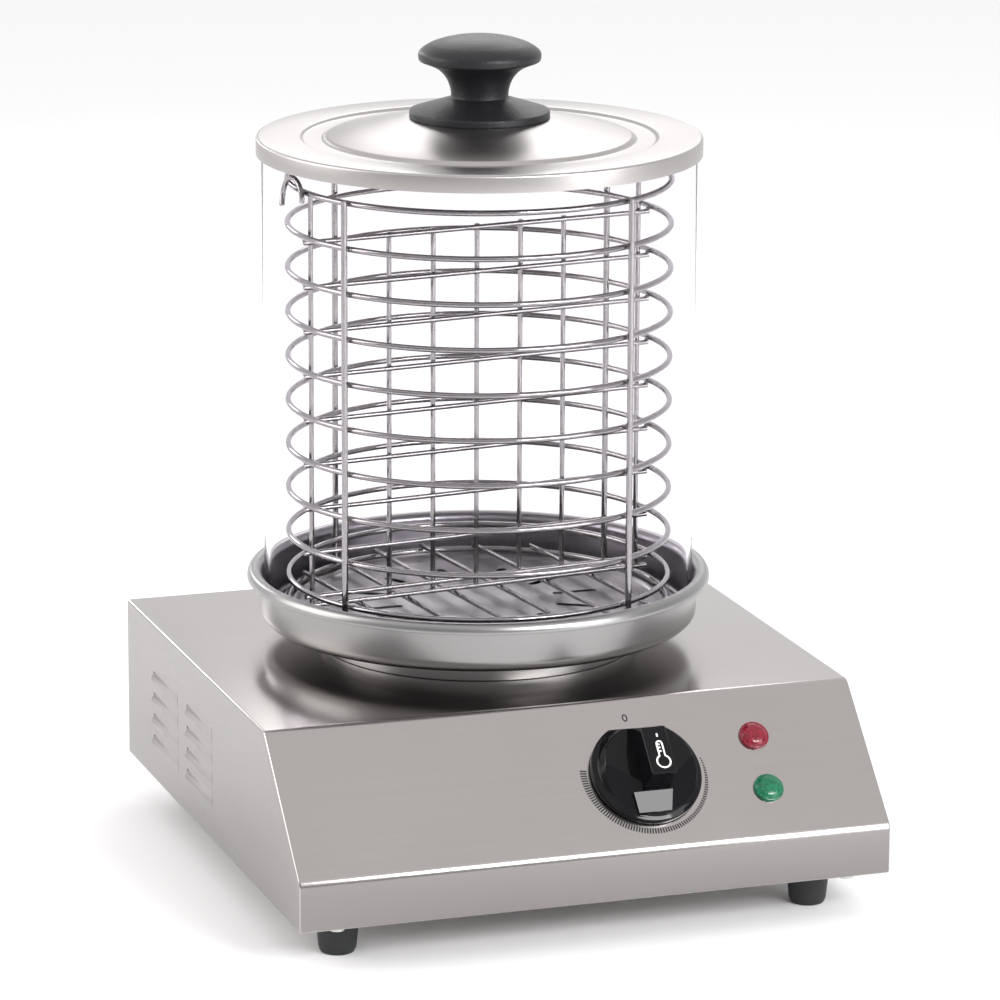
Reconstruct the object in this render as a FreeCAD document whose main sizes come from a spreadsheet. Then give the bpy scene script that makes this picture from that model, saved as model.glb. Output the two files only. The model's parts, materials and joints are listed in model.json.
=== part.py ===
import FreeCAD, Part
import math
import os
import Sketcher
from FreeCAD import Placement, Rotation, Vector

# Hot dog steamer: a heated water pan on a sheet metal base, a glass cylinder with a wire basket, and a lid.
# Millimetres. X to the right, the control panel faces -Y, +Z up, the origin on the floor under the middle.

sizes = {
    # base housing
    "base_width": 277.8,
    "top_depth": 234.0,
    "slope_length": 76.8,
    "slope_angle": 45.0,
    "lip_height": 22.5,
    "sheet": 1.0,
    "bend_radius": 1.4,
    "flange_width": 13.0,
    "tab_width": 12.0,
    # louvres pressed out of both sides
    "louvre_length": 37.0,
    "louvre_radius": 2.7,
    "louvre_sheet": 0.7,
    "louvre_nose": 0.2,
    "louvre_pitch": 10.4,
    "louvre_low": 20.0,
    "louvre_rear_gap": 50.0,
    "louvre_column_pitch": 59.0,
    "louvre_row_count": 4,
    "louvre_column_count": 2,
    # rear panel
    "rear_inset": 7.0,
    "panel_gap": 0.2,
    "rear_slot_width": 3.0,
    "rear_slot_height": 30.0,
    "rear_slot_pitch": 9.0,
    "rear_slot_count": 9,
    "rear_screw_inset": 6.0,
    "panel_screw_shank": 1.6,
    "panel_screw_head": 3.4,
    "panel_screw_head_height": 1.8,
    "panel_screw_length": 5.0,
    # bottom plate
    "plate_gap": 0.4,
    "vent_width": 4.0,
    "vent_length": 60.0,
    "vent_pitch": 12.0,
    "vent_count": 7,
    "bottom_screw_side": 18.9,
    "bottom_screw_inset": 6.5,
    # rubber feet
    "foot_height": 20.5,
    "foot_top_radius": 10.2,
    "foot_bottom_radius": 8.4,
    "foot_edge": 2.4,
    "foot_side": 26.9,
    "foot_inset": 32.0,
    "foot_well_radius": 4.8,
    "foot_well_depth": 11.0,
    "foot_screw_shank": 2.0,
    "foot_screw_head": 3.8,
    "foot_screw_head_height": 2.6,
    "foot_screw_over": 2.0,
    "foot_nut_radius": 4.4,
    "foot_nut_height": 3.2,
    # water pan and what it stands on
    "collar_height": 11.0,
    "collar_inset": 27.4,
    "collar_wall": 1.2,
    "collar_ledge": 15.0,
    "top_opening": 58.0,
    "pan_glass_gap": 1.0,
    "pan_corner_radius": 7.0,
    "pan_height": 24.8,
    "pan_sheet": 1.0,
    "rim_width": 6.1,
    "rim_fall": 2.4,
    "rim_skirt": 2.4,
    "stud_radius": 2.5,
    "stud_circle": 66.5,
    "stud_over": 2.5,
    "stud_nut_radius": 4.6,
    "stud_nut_height": 4.0,
    "stud_count": 3,
    "bolt_clearance": 0.3,
    # heater under the pan
    "spreader_radius": 56.0,
    "spreader_thickness": 3.0,
    "element_radius": 41.0,
    "element_tube": 6.4,
    "element_opening": 50.0,
    "element_tail": 20.0,
    "clamp_length": 96.0,
    "clamp_width": 13.0,
    "clamp_thickness": 2.0,
    "clamp_stud_radius": 2.5,
    "seat_gap": 0.1,
    # control on the slope
    "control_side": 108.6,
    "control_down": 39.3,
    "knob_radius": 25.6,
    "knob_skirt": 3.2,
    "knob_skirt_bevel": 0.8,
    "knob_crown_foot": 23.0,
    "knob_crown_top": 20.8,
    "knob_crown_height": 9.7,
    "knob_crown_edge": 0.6,
    "knob_height": 23.2,
    "knob_grip_width": 12.4,
    "knob_grip_front": 12.4,
    "knob_front_drop": 4.8,
    "knob_rear_top": 11.1,
    "knob_rear_foot": 23.5,
    "knob_recess_radius": 21.0,
    "knob_recess_depth": 2.0,
    "knob_panel_gap": 0.8,
    "knob_bore_depth": 9.0,
    "shaft_radius": 3.0,
    "shaft_flat": 1.8,
    "shaft_gap": 0.05,
    "shaft_depth": 14.0,
    "bush_radius": 5.0,
    "bush_reach": 1.8,
    "thermostat_width": 34.0,
    "thermostat_depth": 22.0,
    "thermostat_screw_spread": 14.0,
    # pilot lamps on the slope
    "lamp_side": 52.7,
    "lamp_first_down": 25.2,
    "lamp_pitch": 27.0,
    "lens_radius": 6.9,
    "lens_rim_height": 1.2,
    "lens_height": 3.4,
    "lens_crown_radius": 4.4,
    "lamp_body_radius": 4.8,
    "lamp_body_length": 22.0,
    "lamp_nut_radius": 8.0,
    "lamp_nut_height": 3.0,
    "panel_hole_gap": 0.3,
    # sensor and thermal cut-out under the spreader
    "bulb_radius": 3.0,
    "bulb_length": 50.0,
    "bulb_off_axis": 20.0,
    "clip_width": 8.0,
    "clip_sheet": 1.0,
    "clip_ear": 5.0,
    "clip_off_axis": 16.0,
    "capillary_wire": 1.8,
    "capillary_bend": 3.0,
    "capillary_fall": 14.0,
    "capillary_lead": 8.0,
    "cutout_radius": 7.0,
    "cutout_height": 9.0,
    "cutout_x": 15.0,
    "cutout_off_axis": 19.0,
    "cutout_ear": 11.0,
    "cutout_ear_width": 6.0,
    "cutout_ear_sheet": 1.0,
    # mains entry and wiring
    "gland_side": 46.9,
    "gland_up": 32.0,
    "gland_radius": 9.0,
    "gland_head": 4.0,
    "gland_cap_radius": 6.6,
    "gland_bore": 4.2,
    "gland_thread_radius": 7.0,
    "gland_thread_length": 13.0,
    "gland_nut_radius": 10.5,
    "gland_nut_height": 4.0,
    "terminal_length": 42.0,
    "terminal_width": 20.0,
    "terminal_height": 16.0,
    "terminal_step": 5.0,
    "terminal_side": 68.9,
    "terminal_rear": 66.0,
    "terminal_screw_radius": 2.4,
    "terminal_screw_pitch": 13.0,
    "terminal_screw_count": 3,
    "earth_side": 26.9,
    "earth_rear": 76.0,
    "earth_radius": 2.5,
    "earth_length": 14.0,
    "earth_nut_radius": 4.6,
    "earth_nut_height": 4.0,
    # steam plate in the pan
    "steam_glass_gap": 4.6,
    "steam_rise": 6.8,
    "steam_sheet": 0.8,
    "steam_groove_inset": 7.8,
    "steam_groove_width": 9.2,
    "steam_groove_depth": 1.6,
    "steam_slope": 1.4,
    "steam_slot_length": 22.0,
    "steam_slot_width": 4.0,
    "steam_slot_inset": 44.4,
    "steam_slot_count": 12,
    # glass cylinder
    "glass_radius": 100.0,
    "glass_wall": 3.0,
    "glass_seat": 3.0,
    "glass_height": 223.2,
    # lid
    "lid_glass_gap": 1.8,
    "lid_band": 8.0,
    "lid_sheet": 0.8,
    "lid_edge": 1.2,
    "lid_channel_inset": 19.9,
    "lid_channel_width": 12.5,
    "lid_channel_depth": 1.4,
    "lid_channel_run": 1.6,
    "lid_rise": 8.4,
    "lid_top_radius": 33.5,
    "lid_bore": 2.7,
    "grip_flange_radius": 32.3,
    "grip_flange_edge": 3.2,
    "grip_flange_rise": 8.8,
    "grip_neck_radius": 13.2,
    "grip_neck_height": 11.6,
    "grip_waist_radius": 15.2,
    "grip_waist_height": 18.0,
    "grip_cap_under": 24.6,
    "grip_cap_low": 26.0,
    "grip_cap_radius": 28.4,
    "grip_cap_edge": 4.0,
    "grip_dome_radius": 17.0,
    "grip_dome_fall": 1.6,
    "grip_height": 37.9,
    "grip_bore_depth": 14.0,
    "grip_bore_gap": 0.1,
    "lid_screw_radius": 2.4,
    "lid_screw_reach": 12.0,
    "lid_screw_head": 4.4,
    "lid_screw_head_height": 3.0,
    "lid_washer_radius": 9.0,
    "lid_washer_thickness": 1.2,
    # basket
    "ring_glass_gap": 8.6,
    "ring_wire": 2.8,
    "ring_pitch": 20.75,
    "ring_count": 10,
    "top_ring_up": 200.7,
    "upright_wire": 3.0,
    "upright_over": 1.4,
    "upright_angle": 30.0,
    "upright_count": 4,
    "divider_wire": 2.4,
    "divider_angle": 7.5,
    "divider_wire_count": 7,
    "divider_end_share": 0.75,
    "divider_post_inset": 4.4,
    "base_wire": 2.4,
    "base_side_gap": 28.4,
    "base_wire_count": 6,
    "weld_gap": 0.02,
    "hook_wire": 2.4,
    "hook_radius": 8.6,
    "hook_angle": 184.6,
    "hook_start": 190.0,
    "hook_turn": 225.0,
    "hook_below_ring": 2.6,
    "hook_out": 3.4,
    # one overrun for every cut that runs out of its piece
    "overrun": 2.0,
}

ring_facets = 36
wire_facets = 6
hook_facets = 8
element_facets = 24
round_facets = 16
fine_facets = 24
disc_facets = 48
corner_facets = 3

doc = FreeCAD.newDocument("hot_dog_steamer")
sheet = doc.addObject("Spreadsheet::Sheet", "Sizes")
for row, (alias, number) in enumerate(sizes.items(), start=1):
    sheet.set("A%d" % row, alias)
    sheet.set("B%d" % row, str(number))
    sheet.setAlias("B%d" % row, alias)
doc.recompute()

nodes = []


class Size(float):
    """A length or an angle that carries the sheet expression it comes from."""

    def __new__(cls, value, text):
        number = float.__new__(cls, value)
        number.text = text
        return number

    def __add__(self, other):
        return Size(float(self) + float(other), "(%s + %s)" % (self.text, words(other)))

    def __radd__(self, other):
        return Size(float(other) + float(self), "(%s + %s)" % (words(other), self.text))

    def __sub__(self, other):
        return Size(float(self) - float(other), "(%s - %s)" % (self.text, words(other)))

    def __rsub__(self, other):
        return Size(float(other) - float(self), "(%s - %s)" % (words(other), self.text))

    def __mul__(self, other):
        return Size(float(self) * float(other), "(%s * %s)" % (self.text, words(other)))

    __rmul__ = __mul__

    def __truediv__(self, other):
        return Size(float(self) / float(other), "(%s / %s)" % (self.text, words(other)))

    def __neg__(self):
        return Size(-float(self), "(0 - %s)" % self.text)


def words(number):
    return getattr(number, "text", "(%.12g)" % float(number))


def size(name):
    return Size(float(sheet.get(name)), "Sizes." + name)


def sine(angle):
    return Size(math.sin(math.radians(angle)), "sin(%s * 1 deg)" % words(angle))


def cosine(angle):
    return Size(math.cos(math.radians(angle)), "cos(%s * 1 deg)" % words(angle))


def tie(thing, name, value):
    """Tie a property to the sheet."""
    if isinstance(value, Size):
        thing.setExpression(name, value.text)


def bind(thing, name, value):
    setattr(thing, name, float(value))
    tie(thing, name, value)


def place(thing, x, y, z, axis=Vector(0, 0, 1), angle=0.0):
    """Put a piece in its place, each coordinate tied to the sheet."""
    thing.Placement = Placement(Vector(x, y, z), Rotation(axis, float(angle)))
    tie(thing, "Placement.Base.x", x)
    tie(thing, "Placement.Base.y", y)
    tie(thing, "Placement.Base.z", z)
    tie(thing, "Placement.Rotation.Angle", angle)
    return thing


def keep(thing, label):
    thing.Label = label
    nodes.append(thing)
    return thing


# Levels and places that several pieces share

gap = size("seat_gap")
wall = size("sheet")
slope_angle = size("slope_angle")
slope_rise = size("slope_length") * sine(slope_angle)
slope_run = size("slope_length") * cosine(slope_angle)
base_bottom = size("foot_height")
lip_top = base_bottom + size("lip_height")
base_top = lip_top + slope_rise
rear = (size("top_depth") + slope_run) / 2
front = -rear
slope_top = front + slope_run
half_width = size("base_width") / 2
axis_y = slope_run / 2
plate_bottom = base_bottom + wall
plate_top = plate_bottom + wall
panel_face = rear - size("rear_inset")
pan_bottom = base_top + size("collar_height")
pan_floor = pan_bottom + size("pan_sheet")
steam_top = pan_floor + size("steam_rise")
glass_bottom = pan_floor + size("glass_seat")
glass_top = glass_bottom + size("glass_height")
lid_under = glass_top + gap
lid_top = lid_under + size("lid_sheet")
grip_seat = lid_top + size("lid_rise")
spreader_bottom = pan_bottom - size("spreader_thickness")
glass_radius = size("glass_radius")
glass_bore = glass_radius - size("glass_wall")
pan_wall_radius = glass_radius + size("pan_glass_gap") + size("pan_sheet")
collar_radius = pan_wall_radius - size("collar_inset")
steam_radius = glass_bore - size("steam_glass_gap")
ring_radius = glass_bore - size("ring_glass_gap")
control_x = half_width - size("control_side")
lamp_x = half_width - size("lamp_side")
gland_x = size("gland_side") - half_width
terminal_x = size("terminal_side") - half_width
earth_x = size("earth_side") - half_width


# Sketches and features of a body

def newBody(label):
    return keep(doc.addObject("PartDesign::Body", "Body"), label)


def newSketch(body, role, y=0.0, z=0.0, tilt=0.0):
    """A sketch on an origin plane, shifted along the plane's own y and z and tilted about its x."""
    sketch = body.newObject("Sketcher::SketchObject", "Sketch")
    plane = [item for item in body.Origin.OriginFeatures if item.Role == role][0]
    sketch.AttachmentSupport = [(plane, "")]
    sketch.MapMode = "FlatFace"
    sketch.AttachmentOffset = Placement(Vector(0, y, z), Rotation(Vector(1, 0, 0), float(tilt)))
    tie(sketch, "AttachmentOffset.Base.y", y)
    tie(sketch, "AttachmentOffset.Base.z", z)
    tie(sketch, "AttachmentOffset.Rotation.Angle", tilt)
    return sketch


def hold(sketch, kind, geometry, point, value):
    """One coordinate or radius of a sketch, tied to the sheet."""
    if kind == "Radius":
        index = sketch.addConstraint(Sketcher.Constraint(kind, geometry, float(value)))
    else:
        index = sketch.addConstraint(Sketcher.Constraint(kind, geometry, point, float(value)))
    tie(sketch, "Constraints[%d]" % index, value)


def outline(sketch, points):
    """A closed run of straight edges, every corner held by the sheet."""
    first = sketch.GeometryCount
    count = len(points)
    for index in range(count):
        start = points[index]
        end = points[(index + 1) % count]
        sketch.addGeometry(Part.LineSegment(Vector(start[0], start[1], 0), Vector(end[0], end[1], 0)))
    for index in range(count):
        following = first + (index + 1) % count
        sketch.addConstraint(Sketcher.Constraint("Coincident", first + index, 2, following, 1))
    for index, (x, y) in enumerate(points):
        hold(sketch, "DistanceX", first + index, 1, x)
        hold(sketch, "DistanceY", first + index, 1, y)
    return sketch


def rectangle(sketch, x0, y0, x1, y1):
    return outline(sketch, [(x0, y0), (x1, y0), (x1, y1), (x0, y1)])


def circle(sketch, x, y, radius):
    index = sketch.addGeometry(Part.Circle(Vector(x, y, 0), Vector(0, 0, 1), float(radius)))
    hold(sketch, "Radius", index, 0, radius)
    hold(sketch, "DistanceX", index, 3, x)
    hold(sketch, "DistanceY", index, 3, y)
    return sketch


def pad(body, sketch, length, middle=False, backwards=False):
    feature = body.newObject("PartDesign::Pad", "Pad")
    feature.Profile = sketch
    bind(feature, "Length", length)
    feature.Midplane = middle
    feature.Reversed = backwards
    return feature


def pocket(body, sketch, length, middle=True, backwards=False):
    feature = body.newObject("PartDesign::Pocket", "Pocket")
    feature.Profile = sketch
    bind(feature, "Length", length)
    feature.Midplane = middle
    feature.Reversed = backwards
    return feature


def turned(label, points):
    """A piece turned about its own Z axis, from the outline of its right half."""
    body = newBody(label)
    sketch = outline(newSketch(body, "XZ_Plane"), points)
    feature = body.newObject("PartDesign::Revolution", "Turn")
    feature.Profile = sketch
    feature.ReferenceAxis = (sketch, ["V_Axis"])
    feature.Angle = 360
    return body


def arc(x, y, radius, start, end, facets=corner_facets):
    """Even points of a rounded corner about (x, y)."""
    points = []
    for step in range(facets + 1):
        angle = start + (end - start) * step / facets
        points.append((x + radius * math.cos(math.radians(angle)), y + radius * math.sin(math.radians(angle))))
    return points


# Plain solids

def block(x, y, z, dx, dy, dz):
    thing = doc.addObject("Part::Box", "Block")
    bind(thing, "Length", dx)
    bind(thing, "Width", dy)
    bind(thing, "Height", dz)
    return place(thing, x, y, z)


def bar(x, y, z, radius, length, facets=round_facets, axis=Vector(0, 0, 1), angle=0.0):
    """A round or hexagonal bar that starts at (x, y, z)."""
    thing = doc.addObject("Part::Prism", "Bar")
    thing.Polygon = facets
    bind(thing, "Circumradius", radius)
    bind(thing, "Height", length)
    return place(thing, x, y, z, axis, angle)


def combine(kind, pieces):
    thing = doc.addObject(kind, "Joined")
    if kind == "Part::Compound":
        thing.Links = pieces
    else:
        thing.Shapes = pieces
    return thing


def group(label, pieces):
    """Like pieces that share a node, each a solid of its own."""
    return keep(combine("Part::Compound", pieces), label)


def fused(pieces):
    return combine("Part::MultiFuse", pieces)


def cut(base, tool):
    thing = doc.addObject("Part::Cut", "Cut")
    thing.Base = base
    thing.Tool = tool
    return thing


def screw(x, y, z, head, head_height, shank, length):
    """A screw whose head hangs below (x, y, z), its shank going up."""
    return fused([bar(x, y, z - head_height, head, head_height), bar(x, y, z - head_height / 2, shank,
                                                                     length + head_height / 2)])


def nut(x, y, z, radius, height, bore):
    """A hexagonal nut with its bore."""
    return cut(bar(x, y, z, radius, height, 6), bar(x, y, z - height, bore, height * 3))


# Wires: a bent wire is a facetted tube along its centre line, with a mitre at each corner

def cornerReach(diameter):
    """How far the corners of a facetted wire stand from its centre line."""
    return diameter / 2 / math.cos(math.pi / wire_facets)


def wireTube(points, diameter, facing, closed=False):
    """A closed solid round the points, one of its flats turned to the facing direction at the start."""
    count = len(points)
    corner_radius = cornerReach(diameter)
    first_leg = (points[1] - points[0]).normalize()
    last_leg = (points[0] - points[-1]).normalize() if closed else None
    arriving = last_leg if closed else first_leg
    across = arriving.cross(facing).normalize()
    square = across.cross(arriving).normalize()
    ring = []
    for step in range(wire_facets):
        angle = math.pi * (2 * step + 1) / wire_facets
        offset = square * math.cos(angle) + across * math.sin(angle)
        ring.append(points[0] + offset * corner_radius)
    sections = []
    for index, point in enumerate(points):
        if closed or index < count - 1:
            leaving = (points[(index + 1) % count] - point).normalize()
        else:
            leaving = arriving
        normal = (arriving + leaving).normalize()
        mitred = []
        for corner in ring:
            reach = (point - corner).dot(normal) / arriving.dot(normal)
            mitred.append(corner + arriving * reach)
        sections.append(mitred)
        ring = mitred
        arriving = leaving
    faces = []
    spans = count if closed else count - 1
    for index in range(spans):
        near = sections[index]
        far = sections[(index + 1) % count]
        for step in range(wire_facets):
            following = (step + 1) % wire_facets
            corners = [near[step], near[following], far[following], far[step], near[step]]
            faces.append(Part.Face(Part.makePolygon(corners)))
    if not closed:
        for ends in (sections[0], sections[-1]):
            faces.append(Part.Face(Part.makePolygon(ends + [ends[0]])))
    shell = Part.Shell(faces)
    shell.sewShape()
    solid = Part.Solid(shell)
    if solid.Volume < 0:
        solid.reverse()
    return solid


def wirePiece(label, solids, y, z):
    """A node of wire, modelled about the glass axis and lifted to its level."""
    thing = doc.addObject("Part::Feature", "Wire")
    thing.Shape = solids[0] if len(solids) == 1 else Part.makeCompound(solids)
    place(thing, 0.0, y, z)
    return keep(thing, label)


def polar(radius, angle, z=0.0):
    return Vector(radius * math.cos(math.radians(angle)), radius * math.sin(math.radians(angle)), z)


# Housing shell: a folded sheet with pressed louvres, open below and behind

def housingShell():
    body = newBody("housing_shell")
    side = newSketch(body, "YZ_Plane")
    outline(side, [(front, base_bottom), (rear, base_bottom), (rear, base_top), (slope_top, base_top),
                   (front, lip_top)])
    block_pad = pad(body, side, size("base_width"), middle=True)
    doc.recompute()
    folds = []
    for number, edge in enumerate(block_pad.Shape.Edges, start=1):
        box = edge.BoundBox
        across = box.XLength > half_width
        behind = box.YMin > rear - wall
        below = box.ZMax < base_bottom + wall
        upright_front = box.ZLength < size("lip_height") + wall and box.YMax < front + wall
        if not behind and not below and (across or upright_front or box.YLength > wall):
            folds.append("Edge%d" % number)
    rounding = body.newObject("PartDesign::Fillet", "Folds")
    rounding.Base = (block_pad, folds)
    bind(rounding, "Radius", size("bend_radius"))
    hollow = newSketch(body, "YZ_Plane")
    slope_corner = wall * (sine(slope_angle / 2) / cosine(slope_angle / 2))
    behind = rear + size("overrun")
    below = base_bottom - size("overrun")
    outline(hollow, [(front + wall, below), (behind, below), (behind, base_top - wall),
                     (slope_top + slope_corner, base_top - wall), (front + wall, lip_top - slope_corner)])
    pocket(body, hollow, size("base_width") - wall * 2)
    flange = newSketch(body, "XY_Plane", z=base_bottom)
    outer = half_width - wall / 2
    inner = half_width - size("flange_width")
    lip = front + wall / 2
    fold = front + size("flange_width")
    outline(flange, [(-outer, lip), (outer, lip), (outer, rear), (inner, rear), (inner, fold), (-inner, fold),
                     (-inner, rear), (-outer, rear)])
    for x, y in bottomScrewPlaces():
        circle(flange, x, y, size("panel_screw_shank") + size("panel_gap"))
    pad(body, flange, wall)
    tabs = newSketch(body, "XZ_Plane", z=-(panel_face - wall))
    tab_inner = half_width - wall - size("tab_width")
    for sign in (-1, 1):
        outline(tabs, [(tab_inner * sign, plate_top + gap), (outer * sign, plate_top + gap),
                       (outer * sign, base_top - wall / 2), (tab_inner * sign, base_top - wall / 2)])
    for x, z in rearScrewPlaces():
        circle(tabs, x, z, size("panel_screw_shank") + size("panel_gap"))
    pad(body, tabs, wall)
    louvres(body)
    panelHoles(body)
    return body


def louvres(body):
    """Hoods with chamfered noses pressed out of both sides, open at their rear end."""
    radius = size("louvre_radius")
    skin = size("louvre_sheet")
    length = size("louvre_length")
    for column in range(int(size("louvre_column_count"))):
        mouth = rear - size("louvre_rear_gap") - size("louvre_column_pitch") * column
        outer = newSketch(body, "XZ_Plane", z=-mouth)
        inner = newSketch(body, "XZ_Plane", z=-mouth - size("overrun"))
        for row in range(int(size("louvre_row_count"))):
            level = base_bottom + size("louvre_low") + size("louvre_pitch") * row
            for sign in (-1, 1):
                outline(outer, hoodOutline(sign, level, radius, half_width - wall / 2))
                outline(inner, hoodOutline(sign, level, radius - skin, half_width - wall - size("overrun")))
        pad(body, outer, length)
        noseCut(body, mouth - length)
        pocket(body, inner, length + size("overrun") - radius, middle=False, backwards=True)


def hoodOutline(sign, level, radius, root):
    """Half an octagon that stands on the side panel, with its root inside the sheet."""
    points = [(root * sign, level - radius), (half_width * sign, level - radius)]
    for x, y in arc(0, 0, 1, -45, 45, 2):
        points.append(((half_width + radius * x) * sign, level + radius * y))
    points += [(half_width * sign, level + radius), (root * sign, level + radius)]
    return points


def noseCut(body, nose):
    """Slopes the front ends of one column of hoods back from the side panels."""
    reach = size("louvre_radius") + size("overrun")
    near = half_width + size("louvre_nose")
    middle = base_bottom + size("louvre_low") + size("louvre_pitch") * (size("louvre_row_count") - 1) / 2
    slope = newSketch(body, "XY_Plane", z=middle)
    for sign in (-1, 1):
        outline(slope, [(near * sign, nose - reach), (near * sign, nose), ((near + reach) * sign, nose + reach),
                        ((near + reach) * sign, nose - reach)])
    pocket(body, slope, size("louvre_pitch") * size("louvre_row_count"))


def panelHoles(body):
    """The holes in the slope and in the top."""
    slope = newSketch(body, "XY_Plane", slope_top, base_top, slope_angle)
    circle(slope, control_x, -size("control_down"), size("bush_radius") + size("panel_hole_gap"))
    for sign in (-1, 1):
        circle(slope, control_x + size("thermostat_screw_spread") * sign, -size("control_down"),
               size("panel_screw_shank") + size("panel_hole_gap"))
    for lamp in range(2):
        circle(slope, lamp_x, -size("lamp_first_down") - size("lamp_pitch") * lamp,
               size("lamp_body_radius") + size("panel_hole_gap"))
    pocket(body, slope, (wall + size("overrun")) * 2)
    top = newSketch(body, "XY_Plane", z=base_top)
    circle(top, 0.0, axis_y, size("top_opening"))
    for x, y in studPlaces():
        circle(top, x, axis_y + y, size("stud_radius") + size("bolt_clearance"))
    pocket(body, top, (wall + size("overrun")) * 2)


def studPlaces():
    count = int(size("stud_count"))
    places = []
    for index in range(count):
        angle = 90 + 360 * index / count
        places.append((size("stud_circle") * cosine(angle), size("stud_circle") * sine(angle)))
    return places


# Rear panel, bottom plate and their screws

def rearPanel():
    body = newBody("rear_panel")
    face = newSketch(body, "XZ_Plane", z=-panel_face)
    edge = half_width - wall - size("panel_gap")
    rectangle(face, -edge, plate_top + gap, edge, base_top - wall - size("panel_gap"))
    circle(face, gland_x, base_bottom + size("gland_up"), size("gland_thread_radius") + gap)
    count = int(size("rear_slot_count"))
    middle = (plate_top + base_top) / 2
    for index in range(count):
        x = size("rear_slot_pitch") * (index - (count - 1) / 2)
        rectangle(face, x - size("rear_slot_width") / 2, middle - size("rear_slot_height") / 2,
                  x + size("rear_slot_width") / 2, middle + size("rear_slot_height") / 2)
    for x, z in rearScrewPlaces():
        circle(face, x, z, size("panel_screw_shank") + size("panel_gap"))
    pad(body, face, wall, backwards=False)
    return body


def rearScrewPlaces():
    x = half_width - wall - size("rear_screw_inset")
    low = plate_top + size("rear_screw_inset")
    high = base_top - wall - size("rear_screw_inset")
    return [(-x, low), (x, low), (-x, high), (x, high)]


def bottomPlate():
    body = newBody("bottom_plate")
    edge = half_width - wall - size("plate_gap")
    plate = newSketch(body, "XY_Plane", z=plate_bottom)
    rectangle(plate, -edge, front + wall + size("plate_gap"), edge, rear - size("plate_gap"))
    for x, y in footPlaces():
        circle(plate, x, y, size("foot_screw_shank") + size("bolt_clearance"))
    for x, y in bottomScrewPlaces():
        circle(plate, x, y, size("panel_screw_shank") + size("panel_gap"))
    count = int(size("vent_count"))
    for index in range(count):
        y = size("vent_pitch") * (index - (count - 1) / 2)
        rectangle(plate, -size("vent_length") / 2, y - size("vent_width") / 2, size("vent_length") / 2,
                  y + size("vent_width") / 2)
    pad(body, plate, wall)
    return body


def footPlaces():
    spread = half_width - size("foot_side")
    return [(-spread, front + size("foot_inset")), (spread, front + size("foot_inset")),
            (-spread, rear - size("foot_inset")), (spread, rear - size("foot_inset"))]


def bottomScrewPlaces():
    spread = half_width - size("bottom_screw_side")
    side = half_width - size("bottom_screw_inset")
    return [(-spread, front + size("bottom_screw_inset")), (spread, front + size("bottom_screw_inset")),
            (-side, axis_y), (side, axis_y)]


def panelScrews():
    """Screws through the folded flange and through the rear panel."""
    pieces = []
    for x, y in bottomScrewPlaces():
        pieces.append(screw(x, y, base_bottom, size("panel_screw_head"), size("panel_screw_head_height"),
                            size("panel_screw_shank"), size("panel_screw_length")))
    group("bottom_plate_screws", pieces)
    pieces = []
    for x, z in rearScrewPlaces():
        head = bar(x, panel_face + size("panel_screw_head_height"), z, size("panel_screw_head"),
                   size("panel_screw_head_height"), axis=Vector(1, 0, 0), angle=90)
        shank = bar(x, panel_face + size("panel_screw_head_height") / 2, z, size("panel_screw_shank"),
                    size("panel_screw_length"), axis=Vector(1, 0, 0), angle=90)
        pieces.append(fused([head, shank]))
    group("rear_panel_screws", pieces)


# Rubber feet

def rubberFeet():
    feet = []
    screws = []
    nuts = []
    top = size("foot_top_radius")
    low = size("foot_bottom_radius")
    edge = size("foot_edge")
    for x, y in footPlaces():
        sole = frustum(x, y, 0.0, low - edge / 2, low, edge)
        stem = frustum(x, y, edge, low, top, plate_bottom - edge)
        depth = size("foot_well_depth") + size("overrun")
        well = bar(x, y, -size("overrun"), size("foot_well_radius"), depth)
        bore = bar(x, y, 0.0, size("foot_screw_shank") + gap, plate_bottom * 2)
        feet.append(cut(fused([sole, stem]), fused([well, bore])))
        seat = size("foot_well_depth")
        reach = plate_top - seat + size("foot_nut_height") + size("foot_screw_over")
        screws.append(screw(x, y, seat, size("foot_screw_head"), size("foot_screw_head_height"),
                            size("foot_screw_shank"), reach))
        nuts.append(nut(x, y, plate_top, size("foot_nut_radius"), size("foot_nut_height"),
                        size("foot_screw_shank") + gap))
    group("rubber_feet", feet)
    group("foot_screws", screws)
    group("foot_nuts", nuts)


def frustum(x, y, z, low, high, height):
    thing = doc.addObject("Part::Cone", "Cone")
    bind(thing, "Radius1", low)
    bind(thing, "Radius2", high)
    bind(thing, "Height", height)
    return place(thing, x, y, z)


# Collar, pan and heater

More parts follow.
